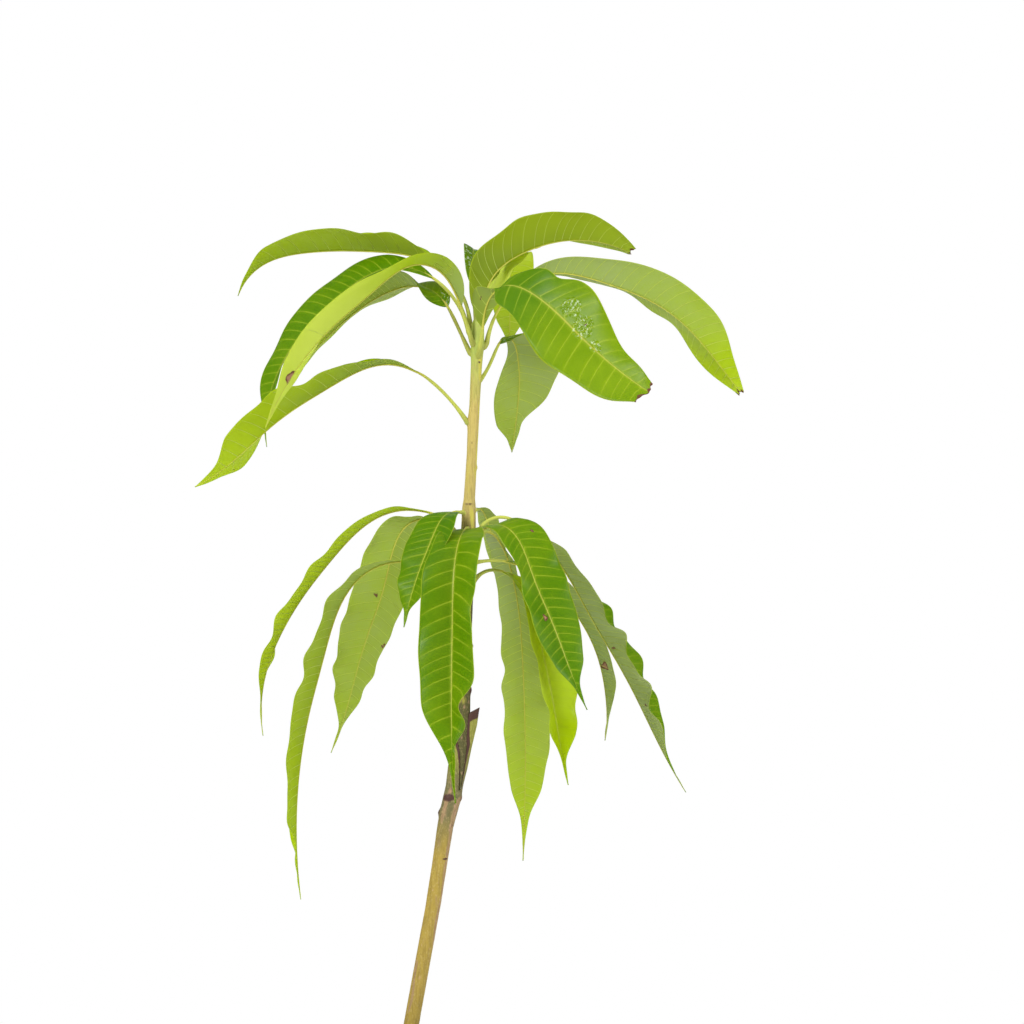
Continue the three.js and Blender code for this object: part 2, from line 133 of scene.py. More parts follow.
# A blade is widest at its belly. heading and climb are the leaf's direction in degrees at the foot
# of the petiole, the foot of the blade, its quarters and its tip. roll lifts the side that lies
# left of its run, at ROLL_KNOTS or the leaf's own roll_knots. fold raises both halves over the
# midrib, and skew widens the left half at the cost of the right, at FOLD_KNOTS.
#
# early: how much of the petiole is blade already. drip and taper: how far the tip narrows, and
# between which places. full: the power of the outline, less for a fuller one. torn: the share that
# is left of a torn blade. veins: the distance between side veins. brown: how brown the petiole is.
# waves: their height on the right and on the left, how many there are along the margin, and the
# share by which they widen it. bays: side (-1 right, 1 left), place, depth and breadth as shares.
# marks and wet: place along and across the blade as shares, and radius; the wet patches also get
# painted glints. tint: from deep green (0) through light (1) to pale (2), at FOLD_KNOTS. It is partly
# the leaf's own tone and partly painted light: the pale end is a painted sheen, and below 0 a
# painted shade deepens the underside too.
LEAVES = [
    leaf_rule("upper_leaf_1", (823, 42, 210, 54, 0.5), [150, 165, 172, 174, 172, 170],
              [86, 50, 9, 0, -15, -70], [30, 38, 40], veins=11,
              waves=(2.0, 2.5, 3.2, 0.03), tint=(0.5, 0.8, 0.9)),
    leaf_rule("upper_leaf_2", (817, 56, 238, 54, 0.42), [188, 181, 174, 173, 177, 185],
              [78, 34, -28, -46, -68, -98], [15, 15, 15], [-20, -28, -32, -28],
              waves=(1.6, 2.2, 3.6, 0.04), tint=(0, 0, 0.1), marks=[(0.3, 0.6, 1.6)]),
    leaf_rule("upper_leaf_3", (810, 50, 238, 50, 0.56), [228, 216, 206, 205, 205, 205],
              [70, 54, -32, -40, -53, -68], [15, 26, 6], [0, 15, 28, 62], [1.3, 0, 0],
              early=20, veins=90, waves=(1.5, 2.0, 3.0, 0.03), tint=(0.1, 1.7, 1.6),
              bays=[(1, 0.31, 0.6, 0.13)], marks=[(0.82, 0.1, 6.5)]),
    leaf_rule("upper_leaf_4", (802, 42, 196, 50, 0.45), [165, 155, 162, 165, 160, 150],
              [65, 56, -11, -36, -45, -62], [10, 30, 30], [-70, 20, 20, 20], veins=5.5, brown=1,
              waves=(1.5, 2.0, 4.0, 0.03), tint=(0, 0.5, 0.9), wet=[(0.02, -0.5, 14)]),
    leaf_rule("upper_leaf_5", (825, 28, 164, 56, 0.42), [62, 58, 31, 25, 22, 20],
              [96, 61, 32, 15, -4, -26], [25, 35, 25], [-118, -72, -38, -30], [0.05, -0.08, 0],
              roll_knots=[0, 0.2, 0.4, 1], early=20, drip=0.1, veins=9.5, full=0.5, torn=0.94,
              waves=(2.0, 3.2, 3.4, 0.05), tint=(-0.9, -0.9, -0.8),
              bays=[(1, 0.2, 0.85, 0.17)], wet=[(0.85, 0.5, 9)]),
    leaf_rule("upper_leaf_6", (800, 34, 214, 70, 0.5), [285, 295, 318, 325, 325, 325],
              [60, 64, -15, -40, -37, -30], [8, 8, 8], [-60, -50, 38, 60, 55],
              [-0.55, -0.05, -0.3], roll_knots=[0, 0.13, 0.22, 0.5, 1], early=12, drip=0,
              veins=11.5, torn=0.9, waves=(2.4, 3.4, 3.3, 0.06), tint=(-0.8, 0.2, 0.3),
              bays=[(1, 0.22, 0.45, 0.1), (1, 0.41, 0.2, 0.04), (1, 0.8, 0.35, 0.12),
                    (-1, 0.18, 0.8, 0.055), (-1, 0.32, 0.3, 0.15)],
              marks=[(0.1, -0.45, 1.6), (0.62, 0.3, 0.9)],
              wet=[(0.53, 0.34, 11), (0.62, 0.22, 13), (0.71, 0.1, 8), (0.2, -0.2, 8)]),
    leaf_rule("upper_leaf_7", (808, 44, 250, 54, 0.66), [20, 12, 8, 8, 12, 20],
              [80, 50, -8, -23, -47, -51], [10, 35, 20], [0, -35, -35, -50], [-0.2, -0.1, 0.1],
              early=18, drip=0.1, veins=9, torn=0.97, waves=(2.0, 3.2, 3.6, 0.05),
              tint=(0.2, 0.3, 1.2), bays=[(1, 0.27, 0.4, 0.05)]),
    leaf_rule("upper_leaf_8", (817, 38, 170, 44, 0.4), [72, 66, 72, 88, 92, 88],
              [70, 50, 34, -46, -62, -40], [15, 15, 15],
              waves=(2.0, 2.0, 4.0, 0.04), tint=(1.9, 1.2, 0.5)),
    leaf_rule("upper_leaf_9", (775, 48, 134, 52, 0.46), [65, 55, 60, 95, 105, 95],
              [30, 48, -64, -65, -65, -40], [10, 10, 10], FLAT, [-0.85, -0.25, 0.3], veins=9,
              waves=(2.0, 2.0, 2.6, 0.03), tint=(0, 0.3, 0.5),
              bays=[(-1, 0.78, 0.65, 0.12)], wet=[(0.04, -0.5, 10)]),
    leaf_rule("upper_leaf_10", (743, 52, 228, 58, 0.66), [187, 188, 188, 191, 193, 199],
              [56, 33, -24, -33, -43, -28], [40, 32, 5], [0, 0, 15, 65], veins=12,
              waves=(1.6, 2.6, 4.2, 0.04), tint=(0.5, 0.9, 1.2), marks=[(0.84, -0.8, 1.2)]),
    leaf_rule("upper_leaf_11", (828, 32, 124, 20, 0.45), [106, 95, 90, 84, 84, 84],
              [62, 62, 50, -20, -45, -55], [10, 10, 10], [0, 20, 25, 30],
              waves=(1.2, 1.2, 4.0, 0.04), tint=(0.1, 0, 0), wet=[(0.3, 0, 24)]),
    leaf_rule("lower_leaf_1", (644, 30, 268, 28, 0.45), [175, 178, 180, 179, 170, 160],
              [61, 21, -41, -54, -70, -100], [20, 25, 18], [0, 10, 12, 10], drip=0.7,
              waves=(2.6, 2.4, 6.0, 0.06), tint=(0.9, 1.3, 1.2)),
    leaf_rule("lower_leaf_2", (637, 34, 254, 54, 0.48), [135, 138, 143, 152, 157, 160],
              [34, 24, -68, -67, -74, -66], [10, 10, 10], [0, 30, 30, 20], drip=0.65,
              waves=(1.6, 3.0, 7.4, 0.04), tint=(0.4, 0.5, 0.7),
              marks=[(0.06, -0.8, 3.4), (0.42, 0.2, 2.0), (0.6, -0.9, 2.2)]),
    leaf_rule("lower_leaf_3", (598, 41, 335, 46, 0.5), [185, 185, 188, 190, 200, 210],
              [56, 14, -66, -76, -87, -98], [25, 28, 28], [0, 12, 16, 16], drip=0.75, veins=8,
              waves=(2.0, 2.6, 7.5, 0.05), tint=(0.4, 0.8, 1.1),
              marks=[(0.43, -0.2, 2.2), (0.52, -0.45, 2.4), (0.7, -0.5, 2.6), (0.75, -0.6, 2.2)]),
    leaf_rule("lower_leaf_4", (664, 11, 124, 44, 0.42), [222, 236, 236, 232, 228, 225],
              [0, 0, -50, -58, -67, -75], [10, 10, 10],
              waves=(1.6, 2.0, 4.0, 0.04), tint=(0, 0, 0.2)),
    leaf_rule("lower_leaf_5", (650, 36, 236, 59, 0.45), [266, 260, 260, 265, 276, 292],
              [5, -20, -80, -82, -82, -72], [20, 25, 20], [0, 12, 24, 20], [0.1, 0.05, 0],
              early=20, drip=0.85, taper=(0.68, 0.93), veins=11, full=0.45,
              waves=(2.6, 4.4, 4.6, 0.06), tint=(0.15, 0.05, 0.1),
              bays=[(1, 0.38, 0.25, 0.05), (1, 0.69, 0.6, 0.05), (1, 0.82, 0.75, 0.05)]),
    leaf_rule("lower_leaf_6", (634, 40, 288, 46, 0.47), [50, 50, 47, 62, 100, 112],
              [76, -42, -80, -86, -86, -84], [10, 10, 10], FLAT, [0.95, 0.05, -0.2],
              early=16, drip=0.65, waves=(2.6, 2.0, 8.5, 0.04), tint=(0.05, 0.45, 1.1)),
    leaf_rule("lower_leaf_7", (643, 26, 192, 53, 0.42), [305, 308, 324, 334, 335, 335],
              [26, 13, -62, -64, -68, -62], [12, 12, 12], [0, 28, 34, 34],
              early=8, drip=0.6, veins=8.5, waves=(1.8, 1.8, 5.0, 0.03), tint=(0.15, 0.05, 0),
              bays=[(-1, 0.36, 0.5, 0.2)],
              marks=[(0.583, -0.27, 3.4), (0.177, 0.05, 1.3), (0.223, 0.62, 1.2)]),
    leaf_rule("lower_leaf_8", (606, 32, 196, 44, 0.52), [322, 325, 322, 324, 328, 330],
              [48, -14, -70, -75, -79, -75], [30, 38, 25], [0, 20, 20, 20], drip=0.6,
              waves=(2.2, 2.4, 5.0, 0.04), tint=(0.6, 1.2, 0.8), marks=[(0.045, 0.35, 2.6)]),
    leaf_rule("lower_leaf_9", (647, 36, 284, 52, 0.52), [0, 10, 16, 18, 12, 8],
              [68, -22, -58, -58, -64, -58], [30, 36, 30], [0, 12, 16, 14], [-0.2, 0.1, 0.1],
              drip=0.86, veins=6.5, waves=(5.0, 4.0, 6.2, 0.12), tint=(0.2, 0.1, 0.1),
              marks=[(0.5, -0.2, 1.6), (0.7, -0.4, 2.0)]),
    leaf_rule("lower_leaf_10", (621, 30, 216, 32, 0.5), [34, 33, 28, 36, 64, 110],
              [10, -6, -40, -56, -70, -64], [30, 40, 30], [0, 0, 30, 65], drip=0.8,
              waves=(2.6, 2.4, 5.0, 0.08), tint=(0.1, 0.1, 0.2), marks=[(0.663, -0.3, 4.2)]),
    leaf_rule("lower_leaf_11", (654, 30, 108, 20, 0.45), [82, 76, 68, 68, 74, 80],
              [28, 16, -42, -56, -62, -50], [10, 10, 10],
              waves=(1.6, 1.6, 4.0, 0.04), tint=(0.2, 0.3, 0.3)),
]

# The scion that the leaves spring from: height, lean along X, half widths along X and Y.
SCION = [
    (428, 51, 0.5, 5.7), (449, 52.7, 2.6, 5.8), (466, 53.6, 5.1, 5.8), (487, 53.7, 5.9, 5.9),
    (547, 54.6, 5.8, 5.8), (598, 56.3, 6.2, 6.2), (640, 57.8, 6.4, 6.4), (668, 58.7, 5.8, 5.8),
    (676, 59, 4.8, 4.8), (713, 61.2, 4.5, 4.5), (742, 62.4, 4.8, 4.8), (755, 63.4, 4.4, 4.4),
    (789, 65, 4.8, 4.8), (808, 66, 5.6, 5.6), (824, 66.3, 5.2, 5.2), (830, 66.4, 3, 3),
    (837, 66.4, 0.9, 0.9),
]

# The rootstock, the same way, from its flat cut at the soil to its longer graft flap.
ROOTSTOCK = [
    (178.3, 0, 9.2, 8.8), (186, 1.5, 7.6, 7.4), (205, 5, 6.8, 6.6), (230, 9.8, 6.6, 6.4),
    (332, 28.5, 6.4, 6.3), (370, 34.4, 6.5, 6.3), (396, 38.4, 6.9, 6.3), (410, 41.5, 7.7, 6.1),
    (421, 44.2, 7.8, 5.8), (432, 46.4, 7.4, 5.4), (449, 49.4, 8.5, 5.2), (466, 54, 7.4, 5.1),
    (483, 59.2, 6.2, 5), (495, 62, 5.8, 4.8),
]
FLAP_TILT = 28
FLAP_TILT_FROM = 483
STEM_SIDES = 44
STEM_SPACING = 1.3
SCION_BARK_SPAN = (430, 830)
ROOTSTOCK_BARK_TOP = 470
GRAFT_FOOT = 428
WEDGE_CLEARANCE = 0.2

# Distances round the bark are measured as if it had this radius everywhere.
BARK_RADIUS = 6
RIDGE_DENSITY = 3.2
RIDGE_LENGTH = 22
SCION_RIDGE_SHARE = 0.7
KNOT_REACH = 4
KNOT_SHADE = 1.6
STREAK_FADE = 6
STREAK_WANDER = 0.8
STREAK_WANDER_LENGTH = 7
CLEFT_REACH = (1.2, 1.42)

# The bark swells below each petiole by this knot, so far under it.
SWELLING = (4.2, 2.6, 0.7, 0)
SWELLING_DROP = 2.5

# The knife's cut on top of the flaps: where it browns the bark at its place along X, and its rise.
FLAP_CUT_SPAN = (486, 489)
FLAP_CUT_PLACE = 62
FLAP_CUT_RISE = 0.5

# Corky streaks along the stems: foot, top, bearing in degrees, half breadth.
SCION_STREAKS = [(776, 806, -50, 2.2), (690, 760, -20, 1.6), (648, 668, -60, 2.0)]
ROOTSTOCK_STREAKS = [(296, 370, -28, 1.7), (372, 424, -35, 2.6), (186, 232, -12, 1.4),
                     (240, 285, -130, 1.2), (400, 432, -120, 1.5)]

# Leaf scars, buds and knots: height, bearing in degrees, half height, half breadth, bump, darkness.
SCION_KNOTS = [
    (513, -12, 3.2, 2.4, 1.2, 1.0), (550, -10, 3.4, 2.4, 1.9, 1.0), (588, 170, 2.4, 2.2, 0.5, 0.6),
    (671, -90, 1.2, 6.0, 0.5, 0.5), (702, 8, 2.0, 1.8, 0.9, 0.2), (791, -62, 0.7, 1.6, 0.2, 0.9),
    (723, -95, 0.9, 1.1, 0.1, 0.5), (758, -120, 0.8, 1.0, 0.1, 0.4), (530, 120, 2.2, 2.0, 0.6, 0.7),
]
ROOTSTOCK_KNOTS = [
    (422, -112, 3.0, 4.2, 1.5, 0.9), (421, -20, 3.0, 2.4, 1.1, 0.5), (409, 178, 3.0, 2.4, 1.3, 0.7),
    (370, -48, 0.9, 2.4, 0.6, 1.0), (398, -40, 0.8, 1.0, 0.2, 0.8), (316, -100, 1.8, 2.2, 0.4, 0.1),
    (289, -110, 1.0, 1.2, 0.2, 0.3), (255, -60, 1.0, 1.0, 0.2, 0.4), (350, 60, 2.0, 2.0, 0.6, 0.5),
]

# ---------------------------------------------------------------- pot and potting mix

POT_HEIGHT = 192
POT_FOOT_RADIUS = 84
POT_TOP_RADIUS = 106
POT_WALL = 2.4
POT_FLOOR = 3.2
POT_BEVEL = 3
RIM_DEPTH = 15
RIM_OVERHANG = 5
RIM_EASE = 1.6
ARC_POINTS = 5
BEVEL_START = -80
WALL_FOOT = 12
WALL_GAP = 3
WALL_ROWS = 14
INNER_ROWS = 8
POT_SIDES = 144
DRAIN_HOLES = 6
DRAIN_RADIUS = 7
DRAIN_CIRCLE = 62
DRAIN_SIDES = 32
DRAIN_SPAN = (-3, 8)
SHARP_ANGLE = 38

# Heights in metres between which dried splashes thicken and the dirt of the foot fades.
SPLASH_BAND = (0.165, 0.195)
FOOT_BAND = (0.0, 0.03)

SOIL_LEVEL = 178
SOIL_HOLLOW = 4
SOIL_FLAT_RADIUS = 30
SOIL_RINGS = 46
SOIL_ROUGHNESS = 1.6
SOIL_BRINK = 4
SOIL_SINK = 0.6
SOIL_CENTRE_SINK = 1
LUMP_SIZE = 11
CRUMB_SHAPES = ((0.45, 0.35, 0.25), (1.0, 0.8, 0.6))
CRUMB_SIZES = (0.22, 1.0)
FULL_TURN = 6.28

# ---------------------------------------------------------------- studio

# In metres, but for the lens and its sensor, which are in millimetres.
CAMERA_PLACE = (0.0952, -2.4178, 0.6642)
CAMERA_LENS = 100
SENSOR_WIDTH = 36
VIEW_DEPTH = 50
FLOOR_RADIUS = 1.15
FLOOR_SIDES = 96
LAMP_AIM = (0.06, 0, 0.6)
LAMPS = {"left": ((-1.7, -1.9, 2.0), 1.2), "right": ((2.4, -1.2, 1.1), 1.4)}

# ---------------------------------------------------------------- colours of small details

DEAD_CENTRE = (0.36, 0.2, 0.11)
# A painted highlight: the pale glints over a blade's wet patches.
PAINTED_GLINT = (0.72, 0.82, 0.6)
STALK_BROWN = (0.13, 0.11, 0.035)
SIDE_VEIN = (0.58, 0.66, 0.17)
RIB_GLOW = (0.75, 0.82, 0.08)
ROOTSTOCK_FOOT = (0.19, 0.15, 0.075)
SCION_CORK = (0.50, 0.46, 0.05)
# Painted shade in the grooves between the bark's fine ridges.
PAINTED_GROOVE_SHADE = (0.3, 0.26, 0.2)
FLECK = (0.5, 0.4, 0.17)
PORE = (0.46, 0.27, 0.17)
SCUFF = (0.06, 0.062, 0.065)
SHRED = (0.19, 0.125, 0.07)


def colour_setting(name, description, default):
    return FloatVectorProperty(
        name=name, description=description, subtype="COLOR", default=default)


def length_setting(name, description, default, least=0):
    """A length, given in millimetres."""
    return FloatProperty(name=name, description=description, default=default * MM,
                         min=least * MM, unit="LENGTH", precision=5)


class SaplingLeafSettings(bpy.types.PropertyGroup):
    thickness: length_setting("Thickness", "Thickness of a blade between its veins", 0.45, 0.1)
    vein_spacing: length_setting(
        "Vein Spacing", "Distance between neighbouring side veins", 8.2, 2)
    quilting: length_setting(
        "Quilting", "How far a blade puffs up between its side veins", 0.11)
    vein_sides: IntProperty(
        name="Vein Sides", description="Sides of the ribs that stand for veins", default=6, min=3)
    deep_green: colour_setting(
        "Deep Green", "Upper side of the darkest blades", (0.05, 0.155, 0.0002))
    light_green: colour_setting(
        "Light Green", "Upper side of the lightest blades", (0.25, 0.355, 0.001))
    under_green: colour_setting("Underside", "Underside of the blades", (0.28, 0.345, 0.14))
    # A painted shade: the underside of blades turned from the light.
    painted_under_shade: colour_setting(
        "Deep Underside", "Underside of the blades that are turned from the light",
        (0.15, 0.2, 0.003))
    # A painted sheen: the pale colour of blades where strong light falls on them.
    painted_sheen_green: colour_setting("Pale Green", "Blades that the light bleaches", (0.66, 0.72, 0.16))
    glow: colour_setting("Glow", "Light that comes through a blade", (0.66, 0.76, 0.002))
    see_through: FloatProperty(
        name="See-through", description="Share of the light that a blade lets through",
        default=0.47, min=0, max=1, subtype="FACTOR")
    vein: colour_setting("Veins", "Side veins and margins", (0.38, 0.46, 0.03))
    midrib: colour_setting("Midrib", "Midribs", (0.52, 0.5, 0.08))
    petiole: colour_setting("Petiole", "Leaf stalks", (0.36, 0.41, 0.07))
    withered: colour_setting("Withered", "Torn ends and dead spots", (0.115, 0.045, 0.022))


class SaplingStemSettings(bpy.types.PropertyGroup):
    ridges: length_setting("Ridges", "Height of the fine ridges along the bark", 0.16)
    olive: colour_setting("Rootstock Olive", "Rootstock bark", (0.31, 0.22, 0.032))
    tan: colour_setting("Rootstock Tan", "Corky streaks on the rootstock", (0.28, 0.175, 0.085))
    union: colour_setting("Graft", "Bark near the graft", (0.13, 0.115, 0.042))
    flap: colour_setting("Flap", "Green bark of the flap beside the graft", (0.26, 0.26, 0.035))
    cut: colour_setting("Healed Cut", "Healed cuts, scars and knots", (0.062, 0.024, 0.016))
    scion_old: colour_setting("Scion Foot", "Older bark of the scion", (0.08, 0.075, 0.018))
    scion_young: colour_setting("Scion Shoot", "Young bark of the shoot", (0.44, 0.345, 0.09))
    scion_tip: colour_setting(
        "Scion Tip", "Green bark under the topmost leaves", (0.33, 0.40, 0.07))


class SaplingPotSettings(bpy.types.PropertyGroup):
    plastic: colour_setting("Plastic", "Moulded plastic of the pot", (0.026, 0.028, 0.03))
    dust: colour_setting("Dust", "Dried soil on the pot", (0.16, 0.12, 0.085))
    # The mix is darker in the hollows of its bump and lighter on its raised parts.
    wet_mix: colour_setting("Hollow Mix", "Potting mix in the hollows", (0.022, 0.013, 0.008))
    raised_mix: colour_setting("Raised Mix", "Potting mix on the crumbs", (0.10, 0.062, 0.036))
    crumbs: FloatProperty(
        name="Crumbs", description="Crumbs on each square metre of the potting mix",
        default=110000, min=0)
    crumb_size: length_setting("Crumb Size", "Radius of the largest crumbs", 2.6, 0.2)
    seed: IntProperty(name="Seed", description="Seed of the crumbs' places", default=7, min=0)


class SaplingStudioSettings(bpy.types.PropertyGroup):
    floor: colour_setting("Floor", "Pale studio floor", (0.86, 0.86, 0.86))
    fill: FloatProperty(
        name="Fill", description="Strength of the even light from all round", default=0.56, min=0)
    left: FloatProperty(
        name="Left", description="Power of the lamp in front on the left",
        default=80, min=0, unit="POWER")
    right: FloatProperty(
        name="Right", description="Power of the lamp on the right",
        default=45, min=0, unit="POWER")
    back: FloatProperty(
        name="Back", description="Strength of the light from behind", default=5, min=0)


# ---------------------------------------------------------------- writing node trees


class Socket:
    """An output in a node tree, on which arithmetic adds Math nodes."""

    def __init__(self, net, link):
        self.net = net
        self.link = link

    def __getitem__(self, name):
        """Another output of the same node."""
        return Socket(self.net, self.link.node.outputs[name])

    def __add__(self, other):
        return self.net.math("ADD", self, other)

    __radd__ = __add__

    def __sub__(self, other):
        return self.net.math("SUBTRACT", self, other)

    def __rsub__(self, other):
        return self.net.math("SUBTRACT", other, self)

    def __mul__(self, other):
        return self.net.math("MULTIPLY", self, other)

    __rmul__ = __mul__

    def __truediv__(self, other):
        return self.net.math("DIVIDE", self, other)

    def __rtruediv__(self, other):
        return self.net.math("DIVIDE", other, self)

    def __pow__(self, other):
        return self.net.math("POWER", self, other)

    def __abs__(self):
        return self.net.math("ABSOLUTE", self)


class Net:
    """Writes a node tree, one node at a time."""

    def __init__(self, tree):
        self.tree = tree

    def node(self, kind, settings=None, inputs=None, output=0):
        """Adds a node, sets it up, then fills its inputs, by name or place, with values or links."""
        made = self.tree.nodes.new(kind)
        for name, value in (settings or {}).items():
            if name == "stops":
                self.set_stops(made.color_ramp, value)
            else:
                setattr(made, name, value)
        for name, value in (inputs or {}).items():
            if isinstance(value, Socket):
                self.tree.links.new(value.link, made.inputs[name])
            else:
                made.inputs[name].default_value = value
        return Socket(self, made.outputs[output])

    @staticmethod
    def set_stops(ramp, stops):
        while len(ramp.elements) < len(stops):
            ramp.elements.new(1)
        for element, (place, colour) in zip(ramp.elements, stops):
            element.position = place
            element.color = (*colour, 1)

    def math(self, operation, *values, clamp=False):
        settings = {"operation": operation, "use_clamp": clamp}
        return self.node("ShaderNodeMath", settings, dict(enumerate(values)))

    def clamped(self, value):
        return self.math("ADD", value, 0, clamp=True)

    def step(self, value, low, high):
        """0 below low and 1 above high, with a smooth rise between."""
        inputs = {"Value": value, "From Min": low, "From Max": high}
        return self.node("ShaderNodeMapRange", {"interpolation_type": "SMOOTHSTEP"}, inputs)

    def mix(self, share, first, second, blend="MIX"):
        """A colour between two, which are colours or links."""
        colours = [c if isinstance(c, Socket) else (*c, 1) for c in (first, second)]
        settings = {"data_type": "RGBA", "blend_type": blend}
        return self.node("ShaderNodeMix", settings, {0: share, 6: colours[0], 7: colours[1]}, 2)

    def attribute(self, name):
        return self.node("ShaderNodeAttribute", {"attribute_name": name}, output="Fac")

    def places(self, scale):
        """Object coordinates, stretched along each axis."""
        here = self.node("ShaderNodeTexCoord", output="Object")
        return self.node("ShaderNodeMapping", None, {"Vector": here, "Scale": scale})

    def rise(self, coordinates="Object"):
        """The Z of a place. Its node also gives X and Y."""
        here = self.node("ShaderNodeTexCoord", output=coordinates)
        return self.node("ShaderNodeSeparateXYZ", None, {"Vector": here}, "Z")

    def noise(self, vector, scale, detail=4, roughness=0.55):
        inputs = {"Vector": vector, "Scale": scale, "Detail": detail, "Roughness": roughness}
        return self.node("ShaderNodeTexNoise", None, inputs)

    def bump(self, height, strength, distance, below=None):
        inputs = {"Height": height, "Strength": strength, "Distance": distance}
        if below is not None:
            inputs["Normal"] = below
        return self.node("ShaderNodeBump", None, inputs)


def material_net(name):
    """A new material with only its output, and the net that writes it."""
    material = bpy.data.materials.new(name)
    material.use_nodes = True
    material.node_tree.nodes.clear()
    return material, Net(material.node_tree)


def principled(net, colour, roughness, normal=None, ior=1.5, specular=0.5):
    """An opaque surface, whose colour and roughness are values or links."""
    inputs = {"Base Color": colour, "Roughness": roughness, "IOR": ior,
              "Specular IOR Level": specular}
    if normal is not None:
        inputs["Normal"] = normal
    return net.node("ShaderNodeBsdfPrincipled", None, inputs)


def finish_material(net, shader):
    output = net.tree.nodes.new("ShaderNodeOutputMaterial")
    net.tree.links.new(shader.link, output.inputs["Surface"])


def finish_leaf_material(net, sheet, glow, share):
    """Ends a leaf's material, with the share of its light that comes from behind."""
    through = net.node("ShaderNodeBsdfTranslucent", None, {"Color": (*glow, 1)})
    finish_material(net, net.node("ShaderNodeMixShader", None, {0: share, 1: sheet, 2: through}))


# ---------------------------------------------------------------- meshes and pieces


def stand(name, data):
    """A new object in the scene."""
    made = bpy.data.objects.new(name, data)
    bpy.context.scene.collection.objects.link(made)
    return made


def piece_from(name, mesh, material, nodes):
    """Stands a mesh in the scene in place of the CAD nodes, riding on the sapling's body."""
    mesh.name = name
    if material is not None:
        mesh.materials.clear()
        mesh.materials.append(material)
    mesh.shade_smooth()
    piece = stand(name, mesh)
    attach(piece, BODY)
    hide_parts(*nodes)
    return piece


def new_mesh(name, points, faces, edges=()):
    """A mesh from points in millimetres."""
    mesh = bpy.data.meshes.new(name)
    mesh.from_pydata((np.asarray(points) * MM).tolist(), list(edges), list(faces))
    mesh.validate()
    mesh.update()
    return mesh


def store(mesh, name, values):
    """Keeps one number for each point of a mesh, for its material to read."""
    layer = mesh.attributes.new(name, "FLOAT", "POINT")
    layer.data.foreach_set("value", np.asarray(values, np.float32).ravel())


def grid_faces(rows, columns, start=0, flip=False, closed=False):
    """Quads over a grid of points kept row by row, closed across its columns if asked."""
    wide = columns if closed else columns - 1
    faces = []
    for row in range(rows - 1):
        for column in range(wide):
            after = (column + 1) % columns
            a = start + row * columns + column
            b = start + (row + 1) * columns + column
            c = start + (row + 1) * columns + after
            d = start + row * columns + after
            faces.append((d, c, b, a) if flip else (a, b, c, d))
    return faces


def evaluated_mesh(source):
    """A plain mesh of what an object's modifiers make of it."""
    depsgraph = bpy.context.evaluated_depsgraph_get()
    shown = source.evaluated_get(depsgraph)
    return bpy.data.meshes.new_from_object(shown, preserve_all_data_layers=True, depsgraph=depsgraph)


def grown_mesh(mesh, tree, values):
    """A plain mesh of what a geometry tree makes of a mesh, with its inputs given by name."""
    source = stand("source", mesh)
    modifier = source.modifiers.new("tree", "NODES")
    modifier.node_group = tree
    for item in tree.interface.items_tree:
        if item.item_type == "SOCKET" and item.name in values:
            modifier[item.identifier] = values[item.name]
    made = evaluated_mesh(source)
    bpy.data.objects.remove(source)
    return made


def cut_mesh(mesh, cutter):
    """A mesh with another taken out of it."""
    body = stand("body", mesh)
    tool = stand("tool", cutter)
    modifier = body.modifiers.new("cut", "BOOLEAN")
    modifier.operation = "DIFFERENCE"
    modifier.solver = "EXACT"
    modifier.object = tool
    made = evaluated_mesh(body)
    bpy.data.objects.remove(body)
    bpy.data.objects.remove(tool)
    return made


def geometry_tree(name, inputs):
    """A geometry tree with named inputs, its net, and a Socket for each input."""
    tree = bpy.data.node_groups.new(name, "GeometryNodeTree")
    tree.interface.new_socket("Geometry", in_out="INPUT", socket_type="NodeSocketGeometry")
    for label, kind in inputs.items():
        tree.interface.new_socket(label, in_out="INPUT", socket_type=kind)
    tree.interface.new_socket("Geometry", in_out="OUTPUT", socket_type="NodeSocketGeometry")
    net = Net(tree)
    start = tree.nodes.new("NodeGroupInput")
    sockets = {output.name: Socket(net, output) for output in start.outputs if output.name}
    return tree, net, sockets


def finish_tree(net, geometry, material):
    """Ends a geometry tree with real faces that carry their material."""
    real = net.node("GeometryNodeRealizeInstances", None, {"Geometry": geometry})
    smooth = net.node("GeometryNodeSetShadeSmooth", None, {"Geometry": real})
    dressed = net.node("GeometryNodeSetMaterial", None, {"Geometry": smooth, "Material": material})
    end = net.tree.nodes.new("NodeGroupOutput")
    net.tree.links.new(dressed.link, end.inputs["Geometry"])


# ---------------------------------------------------------------- the rule of a leaf


def smooth(knots, values, places):
    """A smooth curve through (knots, values), read at each of the places."""
    knots = np.asarray(knots, float)
    values = np.asarray(values, float)
    last = len(knots) - 1
    order = np.arange(last + 1)
    before = np.maximum(order - 1, 0)
    after = np.minimum(order + 1, last)
    slopes = (values[after] - values[before]) / (knots[after] - knots[before])
    i = np.clip(np.searchsorted(knots, places, side="left") - 1, 0, last - 1)
    span = knots[i + 1] - knots[i]
    t = (places - knots[i]) / span
    rise = t * t * (3 - 2 * t)
    bow = t * (1 - t) * span
    ends = values[i] * (1 - rise) + values[i + 1] * rise
    return ends + bow * (slopes[i] * (1 - t) - slopes[i + 1] * t)


def ramp(values, low, high):
    """0 below low and 1 above high, with a smooth rise between."""
    t = np.clip((np.asarray(values, float) - low) / (high - low), 0, 1)
    return t * t * (3 - 2 * t)


def all_round(sides):
    """Angles all round, one for each side."""
    return [2 * math.pi * side / sides for side in range(sides)]


def stem_at(stations, height):
    """Lean and half widths of a stem at a height."""
    heights, *measures = zip(*stations)
    return [np.interp(height, heights, measure) for measure in measures]


